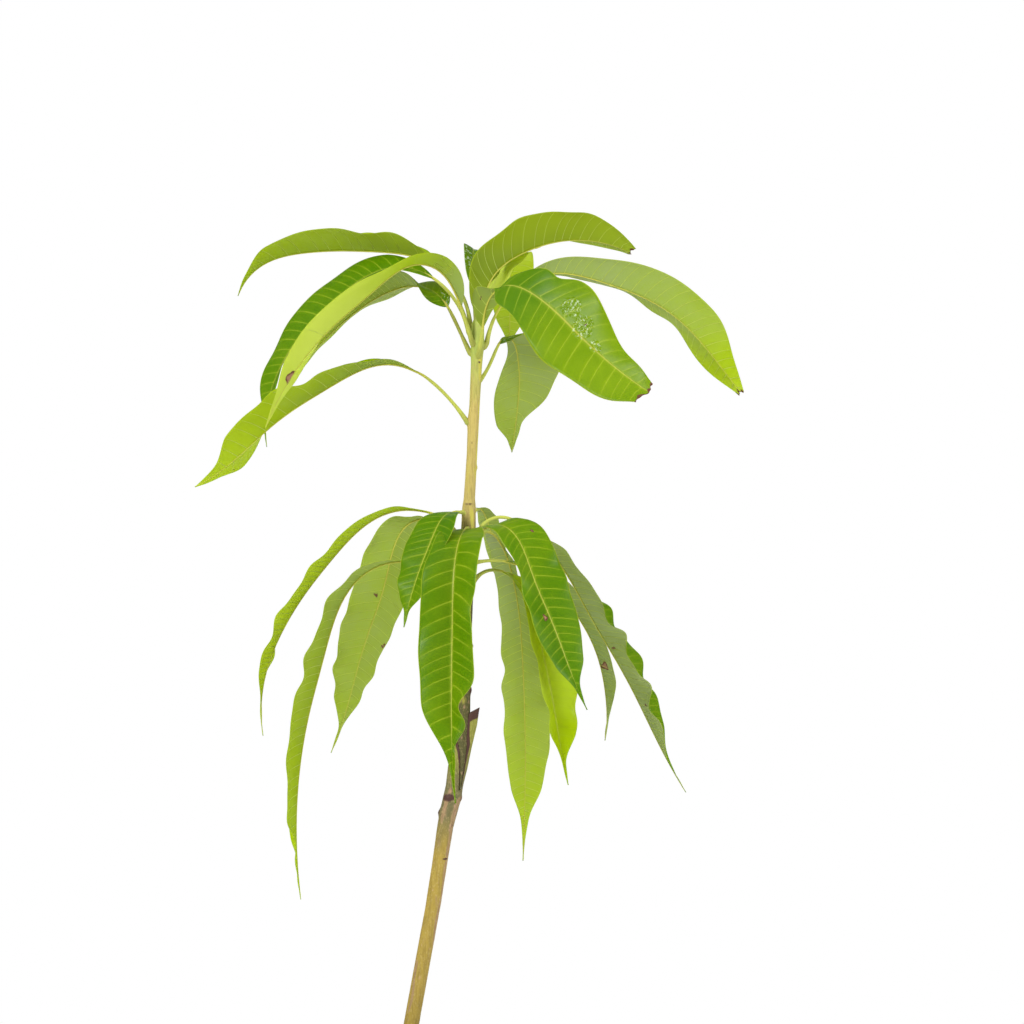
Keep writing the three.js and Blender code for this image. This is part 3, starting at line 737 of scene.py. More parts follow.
def leaf_directions(leaf, distances):
    """Unit vectors along a leaf's run and level to its left, at distances from its foot."""
    run = leaf["petiole"] + np.array(RUN_KNOTS) * leaf["blade"]
    knots = np.concatenate([[0], run])
    climb = np.radians(smooth(knots, leaf["climb"], distances))
    heading = np.radians(smooth(knots, leaf["heading"], distances))
    level = np.cos(climb)
    along = np.stack([level * np.cos(heading), level * np.sin(heading), np.sin(climb)], -1)
    left = np.stack([-np.sin(heading), np.cos(heading), np.zeros_like(heading)], -1)
    return along, left


def stalk_length(leaf):
    """Length of the petiole up to where the blade begins."""
    return leaf["petiole"] - leaf.get("early", 0)


def blade_length(leaf):
    return leaf["blade"] + leaf.get("early", 0)


def leaf_foot(leaf):
    """Middle of the foot of a petiole, and the point inside the scion that it grows from."""
    lean, across, _ = stem_at(SCION, leaf["height"])
    heading = math.radians(leaf["heading"][0])
    lift = abs(math.sin(math.radians(leaf["climb"][0])))
    outward = np.array([math.cos(heading), math.sin(heading), 0])
    axis = np.array([lean, 0, leaf["height"]])
    reach = across + CLEARANCE + PETIOLE_FOOT_RADIUS * lift
    drop = np.array([0, 0, ROOT_DROP + STEEP_ROOT_DROP * lift])
    root = axis + outward * (across - ROOT_DEPTH) - drop
    return axis + outward * reach, root


def leaf_run(leaf, distances):
    """Places along a leaf's middle line, with the directions there."""
    middles = (distances[1:] + distances[:-1]) / 2
    along, _ = leaf_directions(leaf, middles)
    steps = along * np.diff(distances)[:, None]
    foot, _ = leaf_foot(leaf)
    places = foot + np.vstack([np.zeros(3), np.cumsum(steps, 0)])
    along, left = leaf_directions(leaf, distances)
    return places, along, left


def blade_outline(leaf, shares):
    """Half width of the blade as a share of its widest. A torn leaf stops short."""
    run = shares * leaf.get("torn", 1)
    lean = math.log(0.5) / math.log(leaf["belly"])
    full = np.sin(np.pi * np.clip(run, 0, 1) ** lean) ** leaf.get("full", OUTLINE_POWER)
    tip = 1 - TIP_LOSS * run ** TIP_SHARPNESS
    narrowed = 1 - leaf.get("drip", DRIP) * ramp(run, *leaf.get("taper", TAPER))
    return full * tip * narrowed


def vein_spacing(leaf, settings):
    """Distance between side veins, in millimetres, which is larger on a broad blade."""
    usual = settings.vein_spacing / MM * (leaf["width"] / USUAL_WIDTH) ** SPACING_POWER
    return leaf.get("veins", usual)


def vein_phase(leaf, shares, across, spacing):
    """Counts the side veins from the blade's foot: a vein runs where this is a whole number."""
    length = blade_length(leaf)
    half = leaf["width"] / 2 * blade_outline(leaf, shares)
    reach = half * (VEIN_LEAN * np.abs(across) + VEIN_BEND * np.abs(across) ** 3) / length
    start = shares - reach
    wander = sum(amount * np.sin(2 * np.pi * (pace * start + shift * leaf["seed"]))
                 for amount, pace, shift in VEIN_WANDERING)
    stagger = np.where(np.asarray(across) > 0, VEIN_STAGGER, 0)
    return length / spacing * start + wander + stagger


def blade_halves(leaf, share, across):
    """Width of each half of the blade: skewed and with its bays, but not yet with its waves."""
    half = np.maximum(leaf["width"] / 2 * blade_outline(leaf, share), LEAST_HALF_WIDTH)
    half = half * (1 + np.sign(across) * smooth(FOLD_KNOTS, leaf["skew"], share))
    for way, place, depth, breadth in leaf.get("bays", ()):
        bay = depth * np.exp(-((share - place) / breadth) ** 2)
        half = half * (1 - np.where(way * across > 0, 1, 0) * bay)
    return half


def margin_waves(leaf, share, across):
    """How far the waves lift the blade, and the share by which they widen it."""
    right, left, count, sway = leaf["waves"]
    turn = 2 * np.pi * (count * share + leaf["seed"] + WAVE_LEAD * (across > 0))
    swell = 1 - WAVE_SWELL + WAVE_SWELL * np.sin(SWELL_PACE * turn + 9 * leaf["seed"])
    ripple = swell * (np.sin(turn) + SMALL_WAVE * np.sin(SMALL_WAVE_PACE * turn + 1))
    wave = np.where(across > 0, left, right) * np.abs(across) ** WAVE_RISE
    wave = wave * np.sin(np.pi * share) ** 0.5 * ripple
    return wave, sway * np.abs(across) ** 2 * swell * np.cos(turn + 0.6)


def blade_surface(leaf, settings):
    """The blade's middle surface: its points row by row, its faces' direction and its shares."""
    stalk = np.linspace(0, stalk_length(leaf), PETIOLE_STEPS + 1)
    shares = np.linspace(0, 1, BLADE_STEPS + 1)
    blade = stalk_length(leaf) + shares * blade_length(leaf)
    distances = np.concatenate([stalk[:-1], blade])
    places, along, left = (part[PETIOLE_STEPS:] for part in leaf_run(leaf, distances))
    roll = smooth(leaf.get("roll_knots", ROLL_KNOTS), leaf["roll"], shares)
    roll = np.radians(roll)[:, None]
    side = left * np.cos(roll) + np.cross(along, left) * np.sin(roll)
    face = np.cross(along, side)

    share = shares[:, None]
    across = np.linspace(-1, 1, BLADE_COLUMNS)[None, :]
    size = np.abs(across)
    wave, sway = margin_waves(leaf, share, across)
    half = blade_halves(leaf, share, across) * (1 + sway)
    fold = np.radians(smooth(FOLD_KNOTS, leaf["fold"], share)) * np.minimum(1, share / FOLD_EASE)
    phase = vein_phase(leaf, share, across, vein_spacing(leaf, settings))
    puff = settings.quilting / MM * np.sin(np.pi * phase) ** 2 * (4 * size * (1 - size)) ** 0.6

    sideways = half * np.cos(fold) * across
    curl = 1 + FOLD_CURL - FOLD_CURL * size ** 2
    lifted = half * np.sin(fold) * size * curl + wave + puff
    points = (places[:, None, :] + side[:, None, :] * sideways[..., None]
              + face[:, None, :] * lifted[..., None])
    if "torn" in leaf:
        ragged = sum(amount * np.sin(pace * across + shift * leaf["seed"])
                     for amount, pace, shift in TORN_WAVES)
        pull = ramp(share, TORN_FROM, 1) * (ragged + TORN_DEPTH)
        points = points - along[:, None, :] * pull[..., None]
    normals = np.cross(np.gradient(points, axis=0), np.gradient(points, axis=1))
    normals = normals / np.linalg.norm(normals, axis=2, keepdims=True)
    return points, normals, shares, across[0], phase


def offsets(leaf, share, side, place, way):
    """How far the points of a blade lie along it and aside from one place on it."""
    return (share - place) * blade_length(leaf), (side - way) * leaf["width"] / 2


def withering(leaf, share, side):
    """How dead the blade is at each point: at a torn end and round its brown marks."""
    dead = np.zeros_like(share)
    if "torn" in leaf:
        dead = 0.75 * ramp(share + 0.006 * np.sin(9 * side), 0.984, 0.998)
    for place, way, radius in leaf.get("marks", ()):
        along, aside = offsets(leaf, share, side, place, way)
        gap = np.hypot(along, aside) * (1 + 0.25 * np.sin(3 * np.arctan2(aside, along) + place))
        dead = np.maximum(dead, 1 - ramp(gap / radius, 0.55, 1.15))
    return dead


def wetness(leaf, share, side):
    """How wet the blade is at each point, which is also where pale glints are painted on it."""
    wet = np.zeros_like(share)
    for place, way, radius in leaf.get("wet", ()):
        gap = np.hypot(*offsets(leaf, share, side, place, way))
        wet = np.maximum(wet, 1 - ramp(gap / radius, 0.4, 1.2))
    return wet


def blade_mesh(leaf, surface, thickness):
    """A thin closed blade: its upper and lower skins, joined round the margin."""
    points, normals, shares, across, phase = surface
    rows, columns = phase.shape
    thin = thickness / 2 * (1 - MARGIN_THINNING * np.abs(across) ** 6)[None, :, None]
    upper = (points + normals * thin).reshape(-1, 3)
    lower = (points - normals * thin).reshape(-1, 3)
    count = rows * columns

    def joined(a, b):
        """A face across the thickness, along the edge from a to b."""
        return a, b, b + count, a + count

    faces = grid_faces(rows, columns) + grid_faces(rows, columns, count, flip=True)
    for start in range(0, count - columns, columns):
        faces.append(joined(start, start + columns)[::-1])
        faces.append(joined(start + columns - 1, start + 2 * columns - 1))
    for start in range(columns - 1):
        last = count - columns + start
        faces.append(joined(start, start + 1))
        faces.append(joined(last, last + 1)[::-1])
    mesh = new_mesh(leaf["name"], np.vstack([upper, lower]), faces)
    share, side = np.meshgrid(shares, across, indexing="ij")
    looks = {"across": side, "vein": phase, "dead": withering(leaf, share, side),
             "wet": wetness(leaf, share, side), "tint": smooth(FOLD_KNOTS, leaf["tint"], share)}
    for name, values in looks.items():
        store(mesh, name, np.concatenate([values.ravel()] * 2))
    store(mesh, "upper", np.concatenate([np.ones(count), np.zeros(count)]))
    return mesh


def sampled(grid, rows, columns):
    """A grid of vectors read between its points."""
    row = np.clip(rows, 0, grid.shape[0] - 1.001)
    column = np.clip(columns, 0, grid.shape[1] - 1.001)
    i = row.astype(int)
    j = column.astype(int)
    u = (row - i)[:, None]
    v = (column - j)[:, None]
    near = grid[i, j] * (1 - v) + grid[i, j + 1] * v
    far = grid[i + 1, j] * (1 - v) + grid[i + 1, j + 1] * v
    return near * (1 - u) + far * u


def vein_runs(leaf, surface, spacing):
    """Each side vein as places and radii, from the midrib to just inside the margin."""
    points, normals, *_ = surface
    length = blade_length(leaf)
    across = np.linspace(*VEIN_SPAN, VEIN_POINTS)
    runs = []
    for way in (-1, 1):
        for number in range(1, int(length / spacing) + 1):
            share = np.full_like(across, number * spacing / length)
            for _ in range(VEIN_SEARCH_STEPS):
                phase = vein_phase(leaf, share, way * across, spacing)
                share = np.clip(share - (phase - number) * spacing / length, 0, 1)
            keep = share < VEIN_LAST_SHARE
            if keep.sum() < VEIN_LEAST_POINTS:
                continue
            rows = share[keep] * BLADE_STEPS
            columns = (1 + way * across[keep]) / 2 * (BLADE_COLUMNS - 1)
            radii = VEIN_END_RADIUS + VEIN_GAIN * (1 - across[keep]) ** 0.7
            normal = sampled(normals, rows, columns)
            runs.append((sampled(points, rows, columns) - VEIN_SINK * normal, radii))
    return runs


def stalk_run(leaf, surface):
    """Petiole and midrib: places, radii, ranks (0 petiole, 1 midrib) and nearness to the scion."""
    points, normals, shares, across, _ = surface
    stalk = stalk_length(leaf)
    distances = np.linspace(0, stalk, PETIOLE_STEPS + 1)
    places, _, _ = leaf_run(leaf, distances)
    _, root = leaf_foot(leaf)
    foot = np.clip(distances / (leaf["petiole"] * PETIOLE_FOOT_SHARE), 0, 1)
    loss = PETIOLE_END_LOSS * ramp(distances / stalk, 0.75, 1)
    thick = PETIOLE_FOOT_RADIUS + (PETIOLE_RADIUS - PETIOLE_FOOT_RADIUS) * foot - loss

    row = slice(None, None, MIDRIB_STRIDE)
    centre = (len(across) - 1) // 2
    left = 1 - shares[row]
    more = thick[-1] - (MIDRIB_TIP_RADIUS + MIDRIB_GAIN)
    slow, steep = MIDRIB_POWERS
    ribs = MIDRIB_TIP_RADIUS + MIDRIB_GAIN * left ** slow + more * left ** steep
    sink = MIDRIB_SINK * ribs * ramp(shares[row], 0, 0.06)
    middle = points[row, centre] - normals[row, centre] * sink[:, None]
    middle[-1] = middle[-2] + (middle[-1] - middle[-2]) * 0.5

    start = np.vstack([root, (root + places[0]) / 2 - np.array([0, 0, 0.8])])
    line = np.vstack([start, places, middle[1:]])
    radii = np.concatenate([thick[0] + np.array(ROOT_SWELL), thick, ribs[1:]])
    ranks = np.concatenate([np.zeros(len(start) + len(places) - 1), np.ones(len(middle))])
    near = 1 - ramp(distances, 0, PETIOLE_STAIN_REACH)
    near = np.concatenate([np.ones(len(start)), near, np.zeros(len(middle) - 1)])
    near = np.maximum(near, leaf.get("brown", 0) * (1 - ramp(ranks, 0, 1)))
    return line, radii, ranks, near


def ribs_source(leaf, surface, spacing):
    """Lines with radii for all that stands proud of a leaf's blade."""
    runs = [stalk_run(leaf, surface)]
    for places, radii in vein_runs(leaf, surface, spacing):
        runs.append((places, radii, np.full(len(places), 2.0), np.zeros(len(places))))
    points, sizes, ranks, feet = (np.concatenate(parts) for parts in zip(*runs))
    edges = []
    count = 0
    for places, *_ in runs:
        edges += [(i, i + 1) for i in range(count, count + len(places) - 1)]
        count += len(places)
    mesh = new_mesh(leaf["name"], points, (), edges)
    for name, values in {"size": sizes * MM, "rank": ranks, "foot": feet}.items():
        store(mesh, name, values)
    return mesh


def ribs_tree():
    """Sweeps a round section along every line of a mesh, as wide as its size attribute says."""
    tree, net, given = geometry_tree("Ribs", {
        "Sides": "NodeSocketInt",
        "Thickness": "NodeSocketFloat",
        "Material": "NodeSocketMaterial",
    })
    lines = net.node("GeometryNodeMeshToCurve", None, {"Mesh": given["Geometry"]})
    size = net.node("GeometryNodeInputNamedAttribute", {"data_type": "FLOAT"}, {"Name": "size"})
    ring = net.node("GeometryNodeCurvePrimitiveCircle", None,
                    {"Resolution": given["Sides"], "Radius": 1.0})
    skin = net.node("GeometryNodeCurveToMesh", None, {
        "Curve": lines, "Profile Curve": ring, "Scale": size * given["Thickness"],
        "Fill Caps": True})
    finish_tree(net, skin, given["Material"])
    return tree


# ---------------------------------------------------------------- leaf materials


def blade_material(settings):
    """A leathery blade: deep or light green above, paler below, with light coming through."""
    material, net = material_net("mango blade")
    upper = net.attribute("upper")
    tint = net.attribute("tint")
    phase = net.attribute("vein")
    across = abs(net.attribute("across"))
    dead = net.attribute("dead")
    here = net.places((1, 1, 1))
    clouds = net.noise(here, 38, 3)
    grain = net.noise(here, 620, 3)
    cells = net.node("ShaderNodeTexVoronoi", {"feature": "DISTANCE_TO_EDGE"}, {
        "Vector": here, "Scale": 430.0}, "Distance")

    from_vein = abs(net.math("FRACT", phase + 0.5) - 0.5)
    reach = 1 - net.step(across, 0.88, 1.0)
    line = (1 - net.step(from_vein, 0.02, 0.06)) * reach
    halo = (1 - net.step(from_vein, 0.04, 0.24)) * reach
    by_midrib = 1 - net.step(across, 0.02, 0.13)
    margin = net.step(across, 0.965, 0.99)
    net_veins = 1 - net.step(cells, 0.0, 0.12)

    # The halo term lightens the blade beside each side vein: a painted shade of the quilting, darker
    # between the veins.
    depth = net.clamped(tint + 0.55 * (clouds - 0.5) + 0.12 * net_veins + 0.1 * halo)
    # The tint mixes deep and light green: partly the leaf's own tone, partly painted light where it
    # falls strongly.
    above = net.mix(depth, settings.deep_green, settings.light_green)
    fade = 1 - 0.5 * net.step(across, 0.3, 0.95)
    above = net.mix(0.48 * line * fade + 0.2 * by_midrib, above, settings.vein)
    below = net.mix(net.clamped(0.85 * tint + 0.7 * (clouds - 0.5) + 0.2 * net_veins),
                    settings.under_green, settings.light_green)
    # Painted shade: a tint below 0 deepens the underside of a blade turned from the light.
    below = net.mix(net.clamped(0 - tint), below, settings.painted_under_shade)
    below = net.mix(0.45 * line + 0.2 * by_midrib, below, settings.vein)
    crest = 1 - net.step(across, 0.006, 0.032)
    above = net.mix(0.7 * crest, above, settings.midrib)
    colour = net.mix(upper, below, above)
    # Painted sheen: a tint above 1 paints the blade pale where strong light falls on it.
    colour = net.mix(net.clamped(tint - 1 + 0.4 * (clouds - 0.5)), colour, settings.painted_sheen_green)
    colour = net.mix(0.7 * margin, colour, settings.vein)
    edge = net.step(dead + 0.5 * (net.noise(here, 420, 3) - 0.5), 0.35, 0.6)
    colour = net.mix(edge, colour, settings.withered)
    colour = net.mix(0.8 * net.step(dead, 0.85, 1.0), colour, DEAD_CENTRE)

    drops = net.step(net.noise(here, 560, 2, 0.5), 0.48, 0.6)
    # Wet patches are glossier and carry painted glints.
    wet = net.step(net.attribute("wet") + 1.1 * (clouds - 0.5), 0.3, 0.7)
    # Painted highlight: pale glints painted into the colour over the wet patches.
    painted_glints = net.step(net.noise(here, 380, 3, 0.6), 0.54, 0.64)
    colour = net.mix(0.6 * wet * painted_glints, colour, PAINTED_GLINT)

    gloss = 0.36 + 0.16 * (1 - upper) + 0.25 * (clouds - 0.5) + 0.3 * edge
    gloss = gloss * (1 - 0.7 * wet * drops)
    relief = net.bump(0.6 * (1 - halo) + 0.12 * grain - 0.1 * net_veins, 0.18, 0.5 * MM)
    relief = net.bump(wet * drops, 0.6, 0.8 * MM, relief)
    sheet = principled(net, colour, gloss, relief, 1.4, 0.22)
    share = settings.see_through * (0.5 + 0.6 * net.clamped(abs(tint))) * (1 - 0.9 * edge)
    finish_leaf_material(net, sheet, settings.glow, share)
    return material


def rib_material(settings):
    """Petioles, midribs and veins, told apart by their rank."""
    material, net = material_net("mango rib")
    rank = net.attribute("rank")
    foot = net.attribute("foot")
    here = net.places((1, 1, 1))
    blotch = net.noise(here, 160, 4)
    stalk = net.mix(0.5 * blotch, settings.petiole, settings.midrib)
    stalk = net.mix(0.3 * foot, stalk, STALK_BROWN)
    colour = net.mix(net.clamped(rank), stalk, settings.midrib)
    colour = net.mix(net.clamped(rank - 1), colour, SIDE_VEIN)
    surface = net.bump(net.noise(here, 700, 3), 0.15, 0.2 * MM)
    sheet = principled(net, colour, 0.42 + 0.15 * blotch, surface, 1.4, 0.25)
    share = 0.25 * net.clamped(rank) + 0.3 * net.clamped(rank - 1)
    finish_leaf_material(net, sheet, RIB_GLOW, share)
    return material


# ---------------------------------------------------------------- the stems


def bark_distance(bearing, way):
    """How far round the bark a bearing in radians lies from one in degrees."""
    around = (math.degrees(bearing) - way + 180) % 360 - 180
    return math.radians(around) * BARK_RADIUS


def knot_bump(knots, height, bearing):
    """How far knots lift the bark at a place, and how dark they make it."""
    lift = 0
    dark = 0
    for at, way, tall, broad, bump, shade in knots:
        if abs(height - at) > KNOT_REACH * tall:
            continue
        aside = bark_distance(bearing, way)
        near = math.exp(-((height - at) / tall) ** 2 - (aside / broad) ** 2)
        lift += bump * near
        dark = max(dark, shade * min(1, KNOT_SHADE * near))
    return lift, dark


def streak_share(streaks, height, bearing):
    """How much of a corky streak a place on the bark has."""
    share = 0
    for foot, top, way, broad in streaks:
        wander = STREAK_WANDER * math.sin(height / STREAK_WANDER_LENGTH)
        aside = bark_distance(bearing, way) + wander
        begun = float(ramp(height, foot - STREAK_FADE, foot + STREAK_FADE))
        ends = begun * (1 - float(ramp(height, top - STREAK_FADE, top + STREAK_FADE / 2)))
        share = max(share, ends * math.exp(-(aside / broad) ** 2))
    return share


def stem_mesh(name, stations, knots, ridges, growth=0.0, tilt=0.0, streaks=()):
    """A closed stem through its stations, with fine ridges, knots and scars on its bark."""
    heights = [station[0] for station in stations]
    rows = int((heights[-1] - heights[0]) / STEM_SPACING)
    points = []
    dark = []
    cork = []
    for height in np.linspace(heights[0], heights[-1], rows + 1):
        lean, wide, deep = stem_at(stations, height)
        slant = math.tan(math.radians(tilt)) * ramp(height, FLAP_TILT_FROM, heights[-1])
        for turn in all_round(STEM_SIDES):
            lift, shade = knot_bump(knots, height, turn)
            at = Vector((math.cos(turn), math.sin(turn), 0)) * RIDGE_DENSITY
            at.z = height / RIDGE_LENGTH
            rough = noise.fractal(at, 0.8, 2.1, 4)
            out = growth + lift + ridges * rough
            x = (wide + out) * math.cos(turn)
            y = (deep + out) * math.sin(turn)
            points.append((lean + x, y, height + x * slant))
            dark.append(shade)
            cork.append(streak_share(streaks, height, turn))
    faces = grid_faces(rows + 1, STEM_SIDES, flip=True, closed=True)
    faces.append(tuple(reversed(range(STEM_SIDES))))
    faces.append(tuple(range(rows * STEM_SIDES, (rows + 1) * STEM_SIDES)))
    mesh = new_mesh(name, points, faces)
    store(mesh, "scar", dark)
    store(mesh, "cork", cork)
    return mesh


def petiole_knots():
    """A swelling of the bark under each petiole."""
    return [(leaf["height"] - SWELLING_DROP, leaf["heading"][0], *SWELLING) for leaf in LEAVES]


def bark_material(name, low, high, stops, streak, ridge_scale):
    """Bark whose colour runs through stops from a low to a high place, in metres."""
    material, net = material_net(name)
    rise = net.rise()
    share = net.clamped((rise - low) / (high - low))
    fine = net.noise(net.places((1, 1, 0.12)), ridge_scale, 5, 0.6)
    patches = net.noise(net.places((1, 1, 0.3)), 120, 3, 0.5)
    flecks = net.noise(net.places((1, 1, 0.5)), 900, 3, 0.6)
    drift = net.clamped(share + 0.12 * (patches - 0.5))
    colour = net.node("ShaderNodeValToRGB", {"stops": stops}, {"Fac": drift})
    cork = net.clamped(net.attribute("cork") + 0.5 * (flecks - 0.5))
    cork = net.clamped(0.8 * net.step(cork, 0.25, 0.6) + 0.5 * net.step(patches, 0.6, 0.7))
    colour = net.mix(cork, colour, streak)
    # Painted shade: the grooves between the fine ridges are darkened.
    shade = net.mix(0.3 * (1 - net.step(fine, 0.36, 0.56)), colour, PAINTED_GROOVE_SHADE, "MULTIPLY")
    colour = net.mix(0.25 * net.step(flecks, 0.52, 0.66), shade, FLECK)
    pores = net.node("ShaderNodeTexVoronoi", None, {
        "Vector": net.places((1, 1, 0.6)), "Scale": 190.0}, "Distance")
    pale = 0.4 * (1 - net.step(pores, 0.12, 0.24)) * net.step(patches, 0.4, 0.5)
    colour = net.mix(pale, colour, PORE)
    scar = net.clamped(net.attribute("scar") + 0.8 * (fine - 0.5))
    cut = bpy.context.scene.sapling_stem.cut
    colour = net.mix(net.step(scar, 0.25, 0.75), colour, cut)
    relief = net.bump(fine, 0.5, 0.5 * MM)
    relief = net.bump(pores, 0.2, 0.3 * MM, relief)
    finish_material(net, principled(net, colour, 0.52 + 0.22 * fine, relief, 1.4))
    return material


# ---------------------------------------------------------------- operators


class SAPLING_OT_stage(bpy.types.Operator):
    """Sets the pale floor, the soft lights and the camera"""

    bl_idname = "sapling.stage"
    bl_label = "Stage"

    def execute(self, context):
        settings = context.scene.sapling_studio
        self.lay_floor(settings)
        self.fill_world(context.scene, settings)
        for name, (place, size) in LAMPS.items():
            self.hang_lamp(name, Vector(place), size, getattr(settings, name))
        camera = bpy.data.cameras.new("camera")
        camera.lens = CAMERA_LENS
        camera.sensor_width = SENSOR_WIDTH
        camera.clip_end = VIEW_DEPTH
        holder = stand("camera", camera)
        holder.location = CAMERA_PLACE
        holder.rotation_euler = (math.pi / 2, 0, 0)
        context.scene.camera = holder
        context.scene.view_settings.view_transform = "Standard"
        return {"FINISHED"}

    @staticmethod
    def lay_floor(settings):
        turns = all_round(FLOOR_SIDES)
        rim = np.stack([np.cos(turns), np.sin(turns), np.zeros(FLOOR_SIDES)], -1)
        mesh = new_mesh("floor", rim * FLOOR_RADIUS / MM, [tuple(range(FLOOR_SIDES))])
        material, net = material_net("studio floor")
        cloud = net.noise(net.places((1, 1, 1)), 4, 2)
        finish_material(net, principled(net, (*settings.floor, 1), 0.75 + 0.1 * cloud))
        mesh.materials.append(material)
        floor = stand("floor", mesh)

    @staticmethod
    def fill_world(scene, settings):
        """An even light from all round, in front of which the sapling is seen on pure white."""
        world = bpy.data.worlds.new("studio")
        world.use_nodes = True
        world.node_tree.nodes.clear()
        net = Net(world.node_tree)
        path = net.node("ShaderNodeLightPath", output="Is Camera Ray")
        rise = net.rise("Generated")
        above = net.clamped(rise)
        behind = net.clamped(rise["Y"])
        glow = settings.fill * (0.8 + 0.3 * rise + 2.6 * above ** 3) + settings.back * behind ** 6
        glow = glow * (1 - 0.9 * path["Is Glossy Ray"])
        strength = glow + (1 - glow) * path
        glow = net.node("ShaderNodeBackground", None, {"Color": (1, 1, 1, 1), "Strength": strength})
        output = net.tree.nodes.new("ShaderNodeOutputWorld")
        net.tree.links.new(glow.link, output.inputs["Surface"])
        scene.world = world

    @staticmethod
    def hang_lamp(name, place, size, power):
        lamp = bpy.data.lights.new(name, "AREA")
        lamp.shape = "DISK"
        lamp.size = size
        lamp.energy = power
        holder = stand(name, lamp)
        holder.location = place
        holder.rotation_euler = (Vector(LAMP_AIM) - place).to_track_quat("-Z", "Y").to_euler()


class SAPLING_OT_leaves(bpy.types.Operator):
    """Makes every leaf: a thin quilted blade, and the petiole, midrib and veins that carry it"""

    bl_idname = "sapling.leaves"
    bl_label = "Leaves"

    def execute(self, context):
        settings = context.scene.sapling_leaf
        blade = blade_material(settings)
        rib = rib_material(settings)
        tree = ribs_tree()
        for number, leaf in enumerate(LEAVES):
            leaf["seed"] = (SEED_STEP * number) % 1
            surface = blade_surface(leaf, settings)
            name = leaf["name"]
            mesh = blade_mesh(leaf, surface, settings.thickness / MM)
            piece_from(f"{name}_blade", mesh, blade, [name])
            lines = ribs_source(leaf, surface, vein_spacing(leaf, settings))
            inputs = {"Sides": settings.vein_sides, "Thickness": 1.0, "Material": rib}
            piece_from(f"{name}_ribs", grown_mesh(lines, tree, inputs), None, [name])
        return {"FINISHED"}


class SAPLING_OT_rootstock(bpy.types.Operator):
    """Makes the leaning rootstock with its cleft for the scion"""

    bl_idname = "sapling.rootstock"
    bl_label = "Rootstock"

    def execute(self, context):
        settings = context.scene.sapling_stem
        ridges = settings.ridges / MM
        body = stem_mesh("rootstock", ROOTSTOCK, ROOTSTOCK_KNOTS, ridges, tilt=FLAP_TILT,
                         streaks=ROOTSTOCK_STREAKS)
        wedge = stem_mesh("wedge", SCION, [], 0, growth=WEDGE_CLEARANCE)
        mesh = cut_mesh(body, wedge)
        self.brown_the_cuts(mesh)
        stops = [(0, ROOTSTOCK_FOOT), (0.06, settings.olive), (0.66, settings.olive),
                 (0.8, settings.union), (0.88, settings.union), (1, settings.flap)]
        bark = bark_material("rootstock bark", SOIL_LEVEL * MM, ROOTSTOCK_BARK_TOP * MM, stops,
                             settings.tan, 620)
        piece_from("rootstock_bark", mesh, bark, ["rootstock"])
        return {"FINISHED"}

    @staticmethod
    def brown_the_cuts(mesh):
        """Darkens the faces that a knife made: inside the cleft and on top of the flaps."""
        scars = mesh.attributes["scar"].data
        for vertex, scar in zip(mesh.vertices, scars):
            x, y, height = vertex.co / MM
            if height < GRAFT_FOOT:
                continue
            lean, wide, deep = stem_at(SCION, height)
            reach = math.hypot((x - lean) / wide, y / deep)
            inside = 1 - float(ramp(reach, *CLEFT_REACH))
            top = float(ramp(height - FLAP_CUT_RISE * (x - FLAP_CUT_PLACE), *FLAP_CUT_SPAN))
            scar.value = max(scar.value, inside, top)


class SAPLING_OT_scion(bpy.types.Operator):
    """Makes the upright scion, from its wedge in the cleft to the bud at its top"""

    bl_idname = "sapling.scion"
    bl_label = "Scion"

    def execute(self, context):
        settings = context.scene.sapling_stem
        knots = SCION_KNOTS + petiole_knots()
        ridges = SCION_RIDGE_SHARE * settings.ridges / MM
        mesh = stem_mesh("scion", SCION, knots, ridges, streaks=SCION_STREAKS)
        stops = [(0, settings.scion_old), (0.5, settings.scion_old), (0.6, settings.scion_young),
                 (0.8, settings.scion_young), (0.93, settings.scion_tip), (1, settings.scion_tip)]
        low, high = SCION_BARK_SPAN
        bark = bark_material("scion bark", low * MM, high * MM, stops, SCION_CORK, 760)
        piece_from("scion_bark", mesh, bark, ["scion"])
        return {"FINISHED"}


def pot_radius(height):
    return POT_FOOT_RADIUS + (POT_TOP_RADIUS - POT_FOOT_RADIUS) * height / POT_HEIGHT


def arc(centre, radius, start, end):
    """Points of a round edge in a profile, between two angles in degrees."""
    turns = np.radians(np.linspace(start, end, ARC_POINTS))
    return [(centre[0] + radius * math.cos(t), centre[1] + radius * math.sin(t)) for t in turns]


def turned_mesh(name, profile, sides):
    """A profile of (radius, height) turned round Z, closed at the axis where it starts and ends."""
    inner = profile[1:-1]
    points = [(r * math.cos(t), r * math.sin(t), z) for r, z in inner for t in all_round(sides)]
    faces = grid_faces(len(inner), sides, flip=True, closed=True)
    count = len(points)
    points += [(0, 0, profile[0][1]), (0, 0, profile[-1][1])]
    last = (len(inner) - 1) * sides
    for i in range(sides):
        j = (i + 1) % sides
        faces.append((count, j, i))
        faces.append((count + 1, last + i, last + j))
    return new_mesh(name, points, faces)


